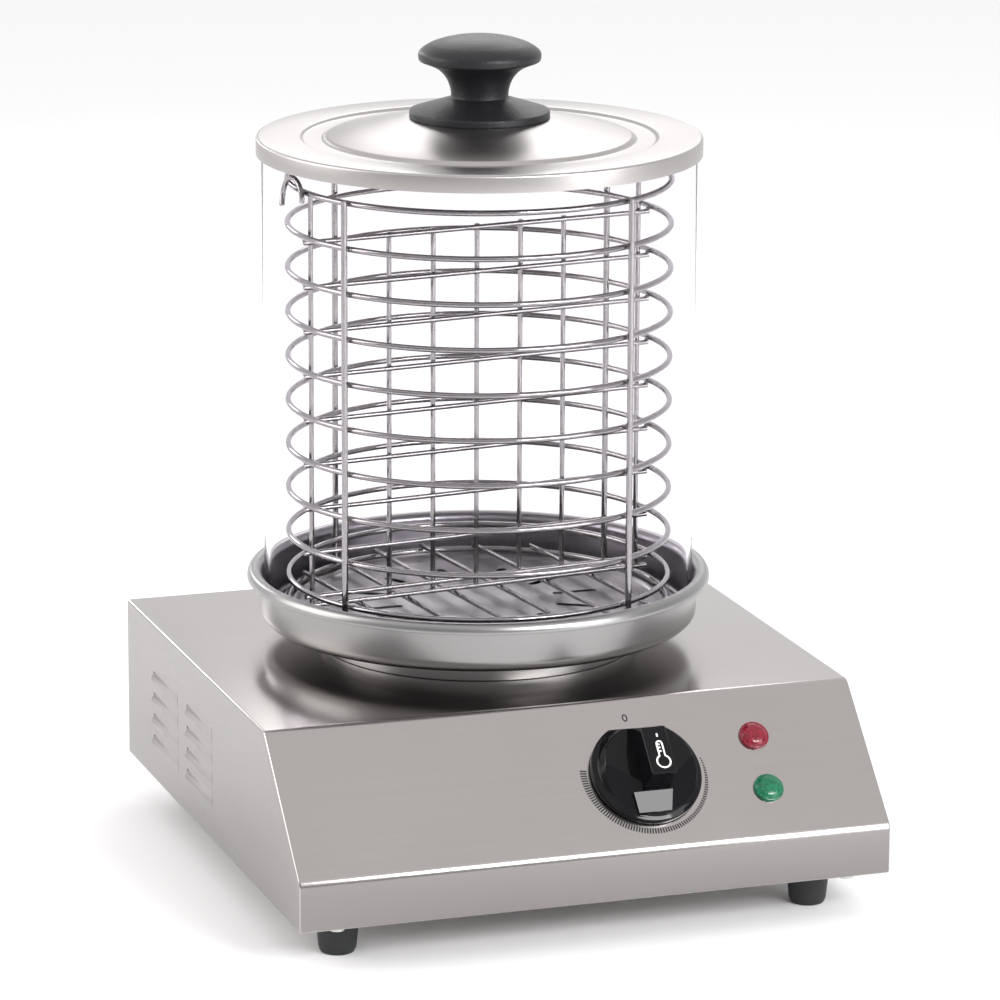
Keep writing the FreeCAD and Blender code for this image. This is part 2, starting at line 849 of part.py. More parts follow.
def panAndHeater():
    ledge = collar_radius - size("collar_ledge")
    inner = collar_radius - size("collar_wall")
    collar = turned("pan_collar", [(ledge, 0), (collar_radius, 0),
                                   (collar_radius, size("collar_height")),
                                   (inner, size("collar_height")), (inner, size("collar_wall")),
                                   (ledge, size("collar_wall"))])
    place(collar, 0.0, axis_y, base_top)
    holes = newSketch(collar, "XY_Plane")
    for x, y in studPlaces():
        circle(holes, x, y, size("stud_radius") + size("bolt_clearance"))
    pocket(collar, holes, size("collar_wall") * 3)
    waterPan()
    studs = []
    nuts = []
    length = size("collar_height") + wall + size("stud_nut_height") + size("stud_over")
    for x, y in studPlaces():
        studs.append(bar(x, axis_y + y, pan_bottom - length, size("stud_radius"), length))
        nuts.append(nut(x, axis_y + y, base_top - wall - size("stud_nut_height"), size("stud_nut_radius"),
                        size("stud_nut_height"), size("stud_radius") + gap))
    group("pan_studs", studs)
    group("pan_nuts", nuts)
    keep(bar(0.0, axis_y, spreader_bottom, size("spreader_radius"), size("spreader_thickness"), disc_facets),
         "heat_spreader")
    heatingElement()
    clamp_top = spreader_bottom - size("element_tube")
    clamp = block(-size("clamp_length") / 2, axis_y - size("clamp_width") / 2, clamp_top - size("clamp_thickness"),
                  size("clamp_length"), size("clamp_width"), size("clamp_thickness"))
    clamp_hole = bar(0.0, axis_y, clamp_top - size("clamp_thickness") * 2,
                     size("clamp_stud_radius") + size("bolt_clearance"), size("clamp_thickness") * 3)
    keep(cut(clamp, clamp_hole), "element_clamp")
    nut_height = size("stud_nut_height")
    clamp_stud_length = size("element_tube") + size("clamp_thickness") + nut_height + size("stud_over")
    keep(bar(0.0, axis_y, spreader_bottom - clamp_stud_length, size("clamp_stud_radius"), clamp_stud_length),
         "clamp_stud")
    keep(nut(0.0, axis_y, clamp_top - size("clamp_thickness") - nut_height, size("stud_nut_radius"),
             size("stud_nut_height"), size("clamp_stud_radius") + gap), "clamp_nut")


def waterPan():
    """A pressed pan with a rounded corner and a rolled rim."""
    skin = size("pan_sheet")
    outer = pan_wall_radius
    inner = outer - skin
    corner = size("pan_corner_radius")
    height = size("pan_height")
    rim = outer + size("rim_width")
    fall = size("rim_fall")
    crest = (inner + rim) / 2
    points = [(0, 0)] + arc(outer - corner, corner, corner, -90, 0)
    points += [(outer, height - fall), (crest, height - skin), (rim - skin, height - fall - skin / 2),
               (rim - skin, height - fall - size("rim_skirt")), (rim, height - fall - size("rim_skirt")),
               (rim, height - fall), (crest, height), (outer, height - skin / 2), (inner, height - fall)]
    points += arc(outer - corner, corner, corner - skin, 0, -90) + [(0, skin)]
    place(turned("water_pan", points), 0.0, axis_y, pan_bottom)


def heatingElement():
    """A tubular element bent to an open ring, its two tails turned down."""
    radius = size("element_radius")
    half_gap = size("element_opening") / 2
    tail = size("element_tail")
    level = -size("element_tube") / 2
    points = [polar(radius, half_gap, level - tail)]
    for step in range(element_facets + 1):
        angle = half_gap + (360 - 2 * half_gap) * step / element_facets
        points.append(polar(radius, angle, level))
    points.append(polar(radius, -half_gap, level - tail))
    level_flats = (points[2] - points[1]).normalize()
    wirePiece("heating_element", [wireTube(points, size("element_tube"), level_flats)], axis_y, spreader_bottom)


# Thermostat, its shaft and the control knob, all square on the slope

def onSlope(thing, x, down, lift=0.0):
    y = slope_top - down * cosine(slope_angle) - lift * sine(slope_angle)
    z = base_top - down * sine(slope_angle) + lift * cosine(slope_angle)
    return place(thing, x, y, z, Vector(1, 0, 0), slope_angle)


def controls():
    half = size("thermostat_width") / 2
    depth = size("thermostat_depth")
    body = newBody("thermostat_body")
    case = newSketch(body, "XY_Plane", z=-wall)
    rectangle(case, -half, -half, half, half)
    pad(body, case, depth, backwards=True)
    bush = circle(newSketch(body, "XY_Plane", z=-wall - size("overrun")), 0.0, 0.0, size("bush_radius"))
    pad(body, bush, wall + size("overrun") + size("bush_reach"))
    bore = circle(newSketch(body, "XY_Plane", z=size("bush_reach") + size("overrun")), 0.0, 0.0,
                  size("shaft_radius") + size("shaft_gap"))
    bore_depth = size("bush_reach") + size("overrun") + size("shaft_depth") + gap
    pocket(body, bore, bore_depth, middle=False)
    pilots = newSketch(body, "XY_Plane", z=0.0)
    for sign in (-1, 1):
        circle(pilots, size("thermostat_screw_spread") * sign, 0.0, size("panel_screw_shank") + gap)
    pocket(body, pilots, wall + size("panel_screw_length"), middle=False)
    onSlope(body, control_x, size("control_down"))
    pieces = []
    for sign in (-1, 1):
        head = bar(size("thermostat_screw_spread") * sign, 0.0, 0.0, size("panel_screw_head"),
                   size("panel_screw_head_height"))
        shank = bar(size("thermostat_screw_spread") * sign, 0.0, -size("panel_screw_length"),
                    size("panel_screw_shank"), size("panel_screw_length") + size("panel_screw_head_height") / 2)
        pieces.append(fused([head, shank]))
    onSlope(group("thermostat_screws", pieces), control_x, size("control_down"))
    shaft()
    controlKnob()


def shaft():
    length = size("shaft_depth") + size("knob_panel_gap") + size("knob_bore_depth")
    rod = bar(0.0, 0.0, -size("shaft_depth"), size("shaft_radius"), length, fine_facets)
    flat = block(-size("shaft_radius") * 2, size("shaft_flat"), size("knob_panel_gap") + size("knob_recess_depth"),
                 size("shaft_radius") * 4, size("shaft_radius") * 2, size("knob_bore_depth") * 2)
    onSlope(keep(cut(rod, flat), "thermostat_shaft"), control_x, size("control_down"))


def controlKnob():
    """A round skirt and crown under a grip bar. One slanted plane ends all three at the rear."""
    skirt = size("knob_skirt")
    bevel = size("knob_skirt_bevel")
    edge = size("knob_crown_edge")
    recess = size("knob_recess_depth")
    radius = size("knob_radius")
    crown = size("knob_crown_height")
    height = size("knob_height")
    front = size("knob_grip_front")
    body = turned("control_knob", [(0, recess), (size("knob_recess_radius"), recess),
                                   (size("knob_recess_radius"), 0), (radius, 0), (radius, skirt - bevel),
                                   (radius - bevel, skirt), (size("knob_crown_foot"), skirt),
                                   (size("knob_crown_top"), crown - edge),
                                   (size("knob_crown_top") - edge, crown), (0, crown)])
    grip = newSketch(body, "YZ_Plane")
    outline(grip, [(-front, skirt), (radius, skirt), (radius, height), (-front, height)])
    pad(body, grip, size("knob_grip_width"), middle=True)
    ends = newSketch(body, "YZ_Plane")
    outline(ends, [(-front, crown), (-radius, crown - size("knob_front_drop")),
                   (-radius * 2, crown - size("knob_front_drop")), (-radius * 2, crown)])
    outline(ends, [(size("knob_rear_top"), height), (size("knob_rear_foot"), 0), (radius * 2, 0),
                   (radius * 2, height)])
    pocket(body, ends, radius * 4)
    bore = circle(newSketch(body, "XY_Plane"), 0.0, 0.0, size("shaft_radius") + gap)
    pocket(body, bore, size("knob_bore_depth") + gap, middle=False, backwards=True)
    onSlope(body, control_x, size("control_down"), size("knob_panel_gap"))


def pilotLamps():
    for index, colour in enumerate(("red", "green")):
        down = size("lamp_first_down") + size("lamp_pitch") * index
        rim = size("lens_radius")
        crown = size("lens_crown_radius")
        shoulder = (size("lens_rim_height") + size("lens_height") * 2) / 3
        lens = turned(colour + "_pilot_lens", [(0, 0), (rim, 0), (rim, size("lens_rim_height")),
                                               (crown, shoulder), (crown / 2, size("lens_height")),
                                               (0, size("lens_height"))])
        onSlope(lens, lamp_x, down)
        lamp = bar(0.0, 0.0, 0.0, size("lamp_body_radius"), size("lamp_body_length"))
        onSlope(keep(lamp, colour + "_pilot_body"), lamp_x, down, -size("lamp_body_length"))
        ring = nut(0.0, 0.0, -wall - size("lamp_nut_height"), size("lamp_nut_radius"), size("lamp_nut_height"),
                   size("lamp_body_radius") + gap)
        onSlope(keep(ring, colour + "_pilot_nut"), lamp_x, down)


# Sensor bulb, capillary and thermal cut-out under the spreader

def sensors():
    radius = size("bulb_radius")
    level = spreader_bottom - radius
    length = size("bulb_length")
    keep(bar(size("bulb_off_axis"), axis_y + length / 2, level, radius, length,
             axis=Vector(1, 0, 0), angle=90),
         "sensor_bulb")
    skin = size("clip_sheet")
    arch = radius + gap
    body = newBody("sensor_clip")
    strap = newSketch(body, "XZ_Plane", z=-size("clip_width") / 2)
    ear = arch + skin + size("clip_ear")
    deep = -radius * 2 - gap
    outline(strap, [(-ear, 0), (-arch, 0), (-arch, deep), (arch, deep), (arch, 0), (ear, 0), (ear, -skin),
                    (arch + skin, -skin), (arch + skin, deep - skin), (-arch - skin, deep - skin),
                    (-arch - skin, -skin), (-ear, -skin)])
    pad(body, strap, size("clip_width"))
    place(body, size("bulb_off_axis"), axis_y + size("clip_off_axis"), spreader_bottom)
    capillary()
    x = -size("cutout_x")
    y = axis_y - size("cutout_off_axis")
    can = bar(x, y, spreader_bottom - size("cutout_height"), size("cutout_radius"), size("cutout_height"))
    ears = block(x - size("cutout_ear"), y - size("cutout_ear_width") / 2,
                 spreader_bottom - size("cutout_ear_sheet"),
                 size("cutout_ear") * 2, size("cutout_ear_width"), size("cutout_ear_sheet"))
    keep(fused([can, ears]), "thermal_cutout")


def capillary():
    """The thin tube from the sensor bulb down to the back of the thermostat."""
    start = Vector(size("bulb_off_axis"), axis_y - size("bulb_length") / 2,
                   spreader_bottom - size("bulb_radius"))
    depth = size("thermostat_depth") + wall
    end = Vector(control_x, slope_top - size("control_down") * cosine(slope_angle)
                 + depth * sine(slope_angle), base_top - size("control_down") * sine(slope_angle)
                 - depth * cosine(slope_angle))
    inward = Vector(0, math.sin(math.radians(slope_angle)), -math.cos(math.radians(slope_angle)))
    bend = start + Vector(0, -size("capillary_bend"), 0)
    low = bend + Vector(0, 0, -size("capillary_fall"))
    points = [start, bend, low, end + inward * size("capillary_lead"), end]
    solid = wireTube(points, size("capillary_wire"), Vector(0, 0, 1))
    wirePiece("capillary_tube", [solid], 0.0, 0.0)


# Mains entry and wiring

def mainsEntry():
    x = gland_x
    z = base_bottom + size("gland_up")
    back = Vector(1, 0, 0)
    head = bar(x, panel_face + size("gland_head"), z, size("gland_radius"), size("gland_head"), 6, back, 90)
    cap = bar(x, panel_face + size("rear_inset"), z, size("gland_cap_radius"), size("rear_inset"),
              fine_facets, back, 90)
    thread = bar(x, panel_face + size("overrun"), z, size("gland_thread_radius"),
                 size("gland_thread_length") + size("overrun"), fine_facets, back, 90)
    bore = bar(x, rear + size("overrun"), z, size("gland_bore"), size("gland_thread_length") * 3,
               fine_facets, back, 90)
    keep(cut(fused([head, cap, thread]), bore), "cable_gland")
    ring = bar(x, panel_face - wall, z, size("gland_nut_radius"), size("gland_nut_height"), 6, back, 90)
    hole = bar(x, panel_face, z, size("gland_thread_radius") + gap, size("gland_nut_height") * 3,
               fine_facets, back, 90)
    keep(cut(ring, hole), "cable_gland_nut")
    length = size("terminal_length")
    width = size("terminal_width")
    height = size("terminal_height")
    step = size("terminal_step")
    body = newBody("terminal_block")
    profile = newSketch(body, "YZ_Plane", z=-length / 2)
    outline(profile, [(-width / 2, 0), (width / 2, 0), (width / 2, height - step),
                      (width / 2 - step, height - step),
                      (width / 2 - step, height), (-width / 2 + step, height),
                      (-width / 2 + step, height - step),
                      (-width / 2, height - step)])
    pad(body, profile, length)
    place(body, terminal_x, rear - size("terminal_rear"), plate_top)
    screws = []
    count = int(size("terminal_screw_count"))
    for index in range(count):
        offset = size("terminal_screw_pitch") * (index - (count - 1) / 2)
        screws.append(bar(terminal_x + offset, rear - size("terminal_rear"), plate_top + height,
                          size("terminal_screw_radius"), size("terminal_screw_radius") / 2))
    group("terminal_screws", screws)
    keep(bar(earth_x, rear - size("earth_rear"), plate_top, size("earth_radius"), size("earth_length")),
         "earth_stud")
    keep(nut(earth_x, rear - size("earth_rear"), plate_top, size("earth_nut_radius"),
             size("earth_nut_height"), size("earth_radius") + gap), "earth_nut")


# Steam plate, glass and lid

def steamPlate():
    """A drip plate on a folded edge, with a pressed ring and slots for the steam."""
    skin = size("steam_sheet")
    height = size("steam_rise") - gap
    rim = steam_radius
    outer = rim - size("steam_groove_inset")
    inner = outer - size("steam_groove_width")
    circle_radius = rim - size("steam_slot_inset")
    low = height - size("steam_groove_depth")
    run = size("steam_slope")
    points = [(rim, 0), (rim, height), (outer, height), (outer - run, low), (inner + run, low), (inner, height),
              (0, height), (0, height - skin), (inner, height - skin), (inner + run, low - skin),
              (outer - run, low - skin), (outer, height - skin), (rim - skin, height - skin), (rim - skin, 0)]
    body = turned("steam_plate", points)
    slots = newSketch(body, "XY_Plane", z=height)
    rectangle(slots, circle_radius - size("steam_slot_length") / 2, -size("steam_slot_width") / 2,
              circle_radius + size("steam_slot_length") / 2, size("steam_slot_width") / 2)
    slot = pocket(body, slots, skin * 4)
    doc.recompute()
    ring = body.newObject("PartDesign::PolarPattern", "Slots")
    ring.Originals = [slot]
    ring.Axis = (slots, ["N_Axis"])
    ring.Angle = 360
    ring.Occurrences = int(size("steam_slot_count"))
    body.Tip = ring
    place(body, 0.0, axis_y, pan_floor + gap)


def glassCylinder():
    height = size("glass_height")
    tube = turned("glass_cylinder", [(glass_bore, 0), (glass_radius, 0), (glass_radius, height),
                                     (glass_bore, height)])
    place(tube, 0.0, axis_y, glass_bottom)


def lidPlate():
    """A pressed lid: a turned-down band, a flat ring, a channel and a gentle cone."""
    skin = size("lid_sheet")
    rim = glass_radius + size("lid_glass_gap") + skin
    edge = size("lid_edge")
    outer = rim - size("lid_channel_inset")
    inner = outer - size("lid_channel_width")
    low = -size("lid_channel_depth")
    run = size("lid_channel_run")
    top = size("lid_rise")
    flat = size("lid_top_radius")
    bore = size("lid_bore")
    points = [(rim, skin - size("lid_band")), (rim, skin - edge), (rim - edge, skin), (outer, skin),
              (outer - run, skin + low), (inner + run, skin + low), (inner, skin), (flat, skin + top),
              (bore, skin + top), (bore, top), (flat, top), (inner, 0), (inner + run, low),
              (outer - run, low), (outer, 0), (rim - skin, 0), (rim - skin, skin - size("lid_band"))]
    place(turned("lid_plate", points), 0.0, axis_y, lid_under)


def lidGrip():
    height = size("grip_height")
    cap = size("grip_cap_radius")
    bore = size("lid_screw_radius") + size("grip_bore_gap")
    depth = size("grip_bore_depth")
    points = [(bore, 0), (size("grip_flange_radius"), 0), (size("grip_flange_radius"), size("grip_flange_edge")),
              (size("grip_neck_radius"), size("grip_flange_rise")),
              (size("grip_neck_radius"), size("grip_neck_height")),
              (size("grip_waist_radius"), size("grip_waist_height")),
              (size("grip_cap_under"), size("grip_cap_low") - size("grip_dome_fall")),
              (cap, size("grip_cap_low")), (cap, size("grip_cap_low") + size("grip_cap_edge")),
              (size("grip_dome_radius"), height - size("grip_dome_fall")), (0, height), (0, depth), (bore, depth)]
    place(turned("lid_knob", points), 0.0, axis_y, grip_seat)
    under = grip_seat - size("lid_sheet")
    washer = size("lid_washer_thickness")
    ring = bar(0.0, axis_y, under - washer, size("lid_washer_radius"), washer, fine_facets)
    hole = bar(0.0, axis_y, under - washer * 2, size("lid_bore"), washer * 3)
    keep(cut(ring, hole), "lid_knob_washer")
    keep(screw(0.0, axis_y, under - washer, size("lid_screw_head"), size("lid_screw_head_height"),
               size("lid_screw_radius"), washer + size("lid_sheet") + size("lid_screw_reach")), "lid_knob_screw")


# Wire basket

def basket():
    ring_wire = size("ring_wire")
    weld = size("weld_gap")
    levels = int(size("ring_count"))
    bottom_ring = steam_top + gap + cornerReach(ring_wire)
    top_ring = steam_top + size("top_ring_up")
    ring_points = [polar(ring_radius, 360 * step / ring_facets) for step in range(ring_facets)]
    heights = [top_ring - size("ring_pitch") * index for index in range(levels)] + [bottom_ring]
    for index, height in enumerate(heights, start=1):
        tube = wireTube(ring_points, ring_wire, polar(1, -180 / ring_facets), closed=True)
        wirePiece("basket_ring_%02d" % index, [tube], axis_y, height)
    basketUprights(top_ring, bottom_ring)
    base_level = bottom_ring + cornerReach(ring_wire) + size("base_wire") / 2 + weld
    basketBase(base_level)
    basketDivider(heights[1:levels], base_level)
    basketHooks(top_ring)


def basketUprights(top_ring, bottom_ring):
    wire = size("upright_wire")
    reach = ring_radius + (size("ring_wire") + wire) / 2 + size("weld_gap")
    length = top_ring + size("upright_over") - bottom_ring
    solids = []
    for index in range(int(size("upright_count"))):
        angle = size("upright_angle") + 360 * index / size("upright_count")
        foot = polar(reach, angle)
        solids.append(wireTube([foot, foot + Vector(0, 0, length)], wire, polar(1, angle)))
    wirePiece("basket_uprights", solids, axis_y, bottom_ring)


def basketBase(level):
    """Straight wires across the bottom ring, square to the divider."""
    wire = size("base_wire")
    along = polar(1, size("divider_angle"))
    across = polar(1, size("divider_angle") + 90)
    count = int(size("base_wire_count"))
    solids = []
    for index in range(count):
        offset = (ring_radius - size("base_side_gap")) * (2 * index / (count - 1) - 1)
        half = math.sqrt(ring_radius ** 2 - offset ** 2)
        middle = along * offset
        solids.append(wireTube([middle - across * half, middle + across * half], wire, Vector(0, 0, 1)))
    wirePiece("basket_base", solids, axis_y, level)


def basketDivider(heights, base_level):
    """A flat grid through the axis: chords under the rings, with upright wires on one face."""
    wire = size("divider_wire")
    weld = size("weld_gap")
    along = polar(1, size("divider_angle"))
    across = polar(1, size("divider_angle") + 90)
    reach = ring_radius
    drop = cornerReach(size("ring_wire")) + wire / 2 + weld
    foot = (size("base_wire") + wire) / 2 + weld
    solids = []
    chords = [height - drop - base_level for height in heights] + [foot]
    for chord in chords:
        rise = Vector(0, 0, chord)
        solids.append(wireTube([along * -reach + rise, along * reach + rise], wire, Vector(0, 0, 1)))
    count = int(size("divider_wire_count"))
    post_reach = reach - size("divider_post_inset")
    pitch = post_reach / ((count - 1) / 2 + size("divider_end_share"))
    offset = across * (wire + weld)
    top = chords[0] + wire / 2
    for index in range(count):
        start = along * (pitch * (index - (count - 1) / 2)) + offset + Vector(0, 0, foot - wire / 2)
        solids.append(wireTube([start, start + Vector(0, 0, top - foot + wire / 2)], wire, across))
    for sign in (-1, 1):
        start = along * (post_reach * sign) + offset + Vector(0, 0, foot - wire / 2)
        tall = top - foot + wire / 2 + size("ring_pitch")
        solids.append(wireTube([start, start + Vector(0, 0, tall)], wire, across))
    wirePiece("basket_divider", solids, axis_y, base_level)


def basketHooks(top_ring):
    """Two bent lifting hooks on the outside of the top ring."""
    wire = size("hook_wire")
    radius = size("hook_radius")
    start_radius = ring_radius + (size("ring_wire") + wire) / 2 + size("weld_gap")
    solids = []
    for side in range(2):
        points = []
        for step in range(hook_facets + 1):
            turn = size("hook_start") - size("hook_turn") * step / hook_facets
            sweep = math.degrees(radius * math.cos(math.radians(turn)) / start_radius)
            out = size("hook_out") * (step / hook_facets) ** 2
            height = radius * math.sin(math.radians(turn)) - size("hook_below_ring")
            points.append(polar(start_radius + out, size("hook_angle") + 180 * side - sweep, height))
        solids.append(wireTube(points, wire, polar(1, size("hook_angle") + 180 * side)))
    wirePiece("basket_hooks", solids, axis_y, top_ring)


housingShell()
rearPanel()
bottomPlate()
panelScrews()
rubberFeet()
panAndHeater()
controls()
pilotLamps()
sensors()
mainsEntry()
steamPlate()
glassCylinder()
lidPlate()
lidGrip()
basket()

doc.recompute()
problems = []
for item in doc.Objects:
    if "Invalid" in item.State or "Error" in item.State:
        problems.append("%s of %s: %s" % (item.Name, item.TypeId, item.State))
for node in nodes:
    if node.Shape.isNull() or not node.Shape.isValid():
        problems.append("%s has no valid shape" % node.Label)
if problems:
    raise RuntimeError("; ".join(problems))

os.makedirs("parts", exist_ok=True)
for node in nodes:
    node.Shape.exportStep(os.path.join("parts", node.Label + ".step"))
print("%d nodes written" % len(nodes))
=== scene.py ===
import json
import math

import bmesh
import bpy
from mathutils import Matrix, Vector


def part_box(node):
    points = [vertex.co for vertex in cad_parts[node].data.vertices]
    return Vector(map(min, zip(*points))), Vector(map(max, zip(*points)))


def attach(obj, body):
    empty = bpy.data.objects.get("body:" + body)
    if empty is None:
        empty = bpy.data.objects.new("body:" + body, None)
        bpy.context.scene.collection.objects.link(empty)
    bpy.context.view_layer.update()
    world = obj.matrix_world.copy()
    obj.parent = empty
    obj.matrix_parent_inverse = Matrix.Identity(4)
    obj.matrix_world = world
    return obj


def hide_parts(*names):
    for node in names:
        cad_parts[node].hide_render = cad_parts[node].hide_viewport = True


# Hot dog steamer: brushed steel base, water pan, glass cylinder, wire basket and pressed lid.
# Lengths in the dictionaries are millimetres, angles are degrees. X to the right, the panel faces -Y, Z up.

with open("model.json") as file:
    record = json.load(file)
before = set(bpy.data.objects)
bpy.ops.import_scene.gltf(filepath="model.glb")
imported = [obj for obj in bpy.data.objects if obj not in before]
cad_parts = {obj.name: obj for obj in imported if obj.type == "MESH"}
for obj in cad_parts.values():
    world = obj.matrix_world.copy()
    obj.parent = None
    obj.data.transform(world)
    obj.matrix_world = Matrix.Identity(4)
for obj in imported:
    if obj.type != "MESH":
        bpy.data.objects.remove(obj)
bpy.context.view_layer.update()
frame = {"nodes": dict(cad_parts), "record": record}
nodes = frame["nodes"]
mm = 0.001
print("frame loaded:", len(nodes), "nodes")


# camera: the photograph's own viewing angle

cameraView = {
    "place": (-756.23, -2226.64, 758.60),
    "azimuth": -18.70,
    "elevation": 14.23,
    "roll": 0.21,
    "lens": 189.19,
    "sensor": 36.0,
    "shiftX": 0.00813,
    "shiftY": 0.01699,
    # metres
    "clip": (0.05, 50.0),
}


def addCamera(view):
    turn = math.radians(view["azimuth"])
    tilt = math.radians(view["elevation"])
    roll = math.radians(view["roll"])
    back = Vector((math.sin(turn) * math.cos(tilt), -math.cos(turn) * math.cos(tilt), math.sin(tilt)))
    right = (-back).cross(Vector((0, 0, 1))).normalized()
    up = right.cross(-back)
    rolledRight = right * math.cos(roll) + up * math.sin(roll)
    rolledUp = up * math.cos(roll) - right * math.sin(roll)
    data = bpy.data.cameras.new("photoCamera")
    data.lens = view["lens"]
    data.sensor_width = view["sensor"]
    data.shift_x = view["shiftX"]
    data.shift_y = view["shiftY"]
    data.clip_start, data.clip_end = view["clip"]
    camera = bpy.data.objects.new("photoCamera", data)
    bpy.context.scene.collection.objects.link(camera)
    camera.matrix_world = Matrix.Translation(Vector(view["place"]) * mm) @ Matrix(
        (rolledRight, rolledUp, back)).transposed().to_4x4()
    bpy.context.scene.camera = camera


addCamera(cameraView)
print("camera placed")


# light and floor

studio = {
    "floorSize": 9000.0,
    "floorColour": (0.96, 0.96, 0.96),
    "floorRoughness": 0.9,
    # colour of the sky at each share of the way from the horizon to straight up
    "skyShares": (0.0, 0.30, 0.62, 1.0),
    "skyFront": ((0.42, 0.42, 0.43), (0.46, 0.46, 0.47), (0.90, 0.89, 0.89), (0.96, 0.95, 0.95)),
    "skyBack": ((1.0, 1.0, 1.01), (0.99, 0.99, 1.0), (0.96, 0.95, 0.95), (0.96, 0.95, 0.95)),
    # the front sky gives way to the back one between these shares of Y
    "skyTurn": (-0.5, 0.5),
    "skyStrength": 1.05,
    "lightAim": (0, 0, 180),
}

softLights = {
    # name: place, size, power, colour
    "leftSoftbox": ((-1380, 450, 760), (1100, 1100), 11.2, (1.0, 0.985, 0.97)),
    "rightSoftbox": ((1080, -1330, 560), (700, 1000), 9.0, (0.98, 0.99, 1.0)),
    "frontSoftbox": ((540, -1620, 930), (780, 480), 23.0, (1.0, 1.0, 1.0)),
    "backStrip": ((-430, 1620, 720), (520, 300), 2.7, (1.0, 1.0, 1.0)),
    "backSoftbox": ((480, 1250, 1060), (700, 420), 2.9, (1.0, 1.0, 1.0)),
}


def addFloor():
    bpy.ops.mesh.primitive_plane_add(size=studio["floorSize"] * mm)
    floor = bpy.context.object
    floor.name = "studioFloor"
    material = bpy.data.materials.new("studioFloor")
    material.use_nodes = True
    shader = material.node_tree.nodes["Principled BSDF"]
    shader.inputs["Base Color"].default_value = (*studio["floorColour"], 1)
    shader.inputs["Roughness"].default_value = studio["floorRoughness"]
    floor.data.materials.append(material)


def addSky():
    world = bpy.data.worlds.new("studioSky")
    bpy.context.scene.world = world
    world.use_nodes = True
    tree = world.node_tree
    place = tree.nodes.new("ShaderNodeTexCoord")
    split = tree.nodes.new("ShaderNodeSeparateXYZ")
    tree.links.new(place.outputs["Generated"], split.inputs[0])
    turn = tree.nodes.new("ShaderNodeMapRange")
    turn.inputs["From Min"].default_value, turn.inputs["From Max"].default_value = studio["skyTurn"]
    tree.links.new(split.outputs["Y"], turn.inputs["Value"])
    blend = tree.nodes.new("ShaderNodeMix")
    blend.data_type = "RGBA"
    tree.links.new(turn.outputs["Result"], blend.inputs["Factor"])
    for colours, socket in ((studio["skyFront"], "A"), (studio["skyBack"], "B")):
        ramp = tree.nodes.new("ShaderNodeValToRGB")
        stops = ramp.color_ramp.elements
        while len(stops) < len(colours):
            stops.new(0.5)
        for stop, share, colour in zip(stops, studio["skyShares"], colours):
            stop.position = share
            stop.color = (*colour, 1)
        tree.links.new(split.outputs["Z"], ramp.inputs["Fac"])
        tree.links.new(ramp.outputs["Color"], blend.inputs[socket])
    tree.links.new(blend.outputs["Result"], tree.nodes["Background"].inputs["Color"])
    tree.nodes["Background"].inputs["Strength"].default_value = studio["skyStrength"]


def addLights():
    middle = Vector(studio["lightAim"]) * mm
    for name, (place, extent, power, colour) in softLights.items():
        data = bpy.data.lights.new(name, "AREA")
        data.shape = "RECTANGLE"
        data.size = extent[0] * mm
        data.size_y = extent[1] * mm
        data.energy = power
        data.color = colour
        light = bpy.data.objects.new(name, data)
        bpy.context.scene.collection.objects.link(light)
        light.location = Vector(place) * mm
        light.rotation_euler = (middle - light.location).to_track_quat("-Z", "Y").to_euler()


addFloor()
addSky()
addLights()
bpy.context.scene.view_settings.view_transform = "Standard"
print("studio lit")


# node groups that several finishes share: each gives a grain and a slow change of shade, both about zero

brushing = {
    "fineDetail": 3.0, "fineRough": 0.6, "fineShare": 0.7, "broadShare": 0.3, "middle": 0.5,
    # scales of the broad streaks and of the clouds of shade
    "straightBroad": 0.16, "turnedBroad": 0.13, "turnStretch": 1.2,
    "sheetCloud": 14.0, "spunCloud": 18.0, "mouldedCloud": 40.0,
}


def newGroup(name, setting, depth):
    tree = bpy.data.node_groups.new(name, "ShaderNodeTree")
    for label, kind, value in (("Vector", "Vector", None), setting, ("Depth", "Float", depth)):
        socket = tree.interface.new_socket(name=label, in_out="INPUT", socket_type="NodeSocket" + kind)
        if value is not None:
            socket.default_value = value
    for label in ("Grain", "Shade"):
        tree.interface.new_socket(name=label, in_out="OUTPUT", socket_type="NodeSocketFloat")
    return tree, tree.nodes.new("NodeGroupInput"), tree.nodes.new("NodeGroupOutput")


def link(tree, source, target):
    tree.links.new(source, target)


def mathNode(tree, operation, first, second=None, third=None):
    node = tree.nodes.new("ShaderNodeMath")
    node.operation = operation
    for index, value in enumerate((first, second, third)):
        if value is None:
            continue
        if isinstance(value, (int, float)):
            node.inputs[index].default_value = value
        else:
            link(tree, value, node.inputs[index])
    return node.outputs[0]


def noiseNode(tree, vector, scale, detail=2.0, rough=0.5):
    node = tree.nodes.new("ShaderNodeTexNoise")
    node.inputs["Detail"].default_value = detail
    node.inputs["Roughness"].default_value = rough
    link(tree, vector, node.inputs["Vector"])
    if isinstance(scale, (int, float)):
        node.inputs["Scale"].default_value = scale
    else:
        link(tree, scale, node.inputs["Scale"])
    return node.outputs["Fac"]


def scratches(tree, vector, broadScale):
    # fine scratches with broader streaks among them
    fine = noiseNode(tree, vector, 1.0, brushing["fineDetail"], brushing["fineRough"])
    broad = noiseNode(tree, vector, broadScale)
    return mathNode(tree, "ADD", mathNode(tree, "MULTIPLY", fine, brushing["fineShare"]),
                    mathNode(tree, "MULTIPLY", broad, brushing["broadShare"]))


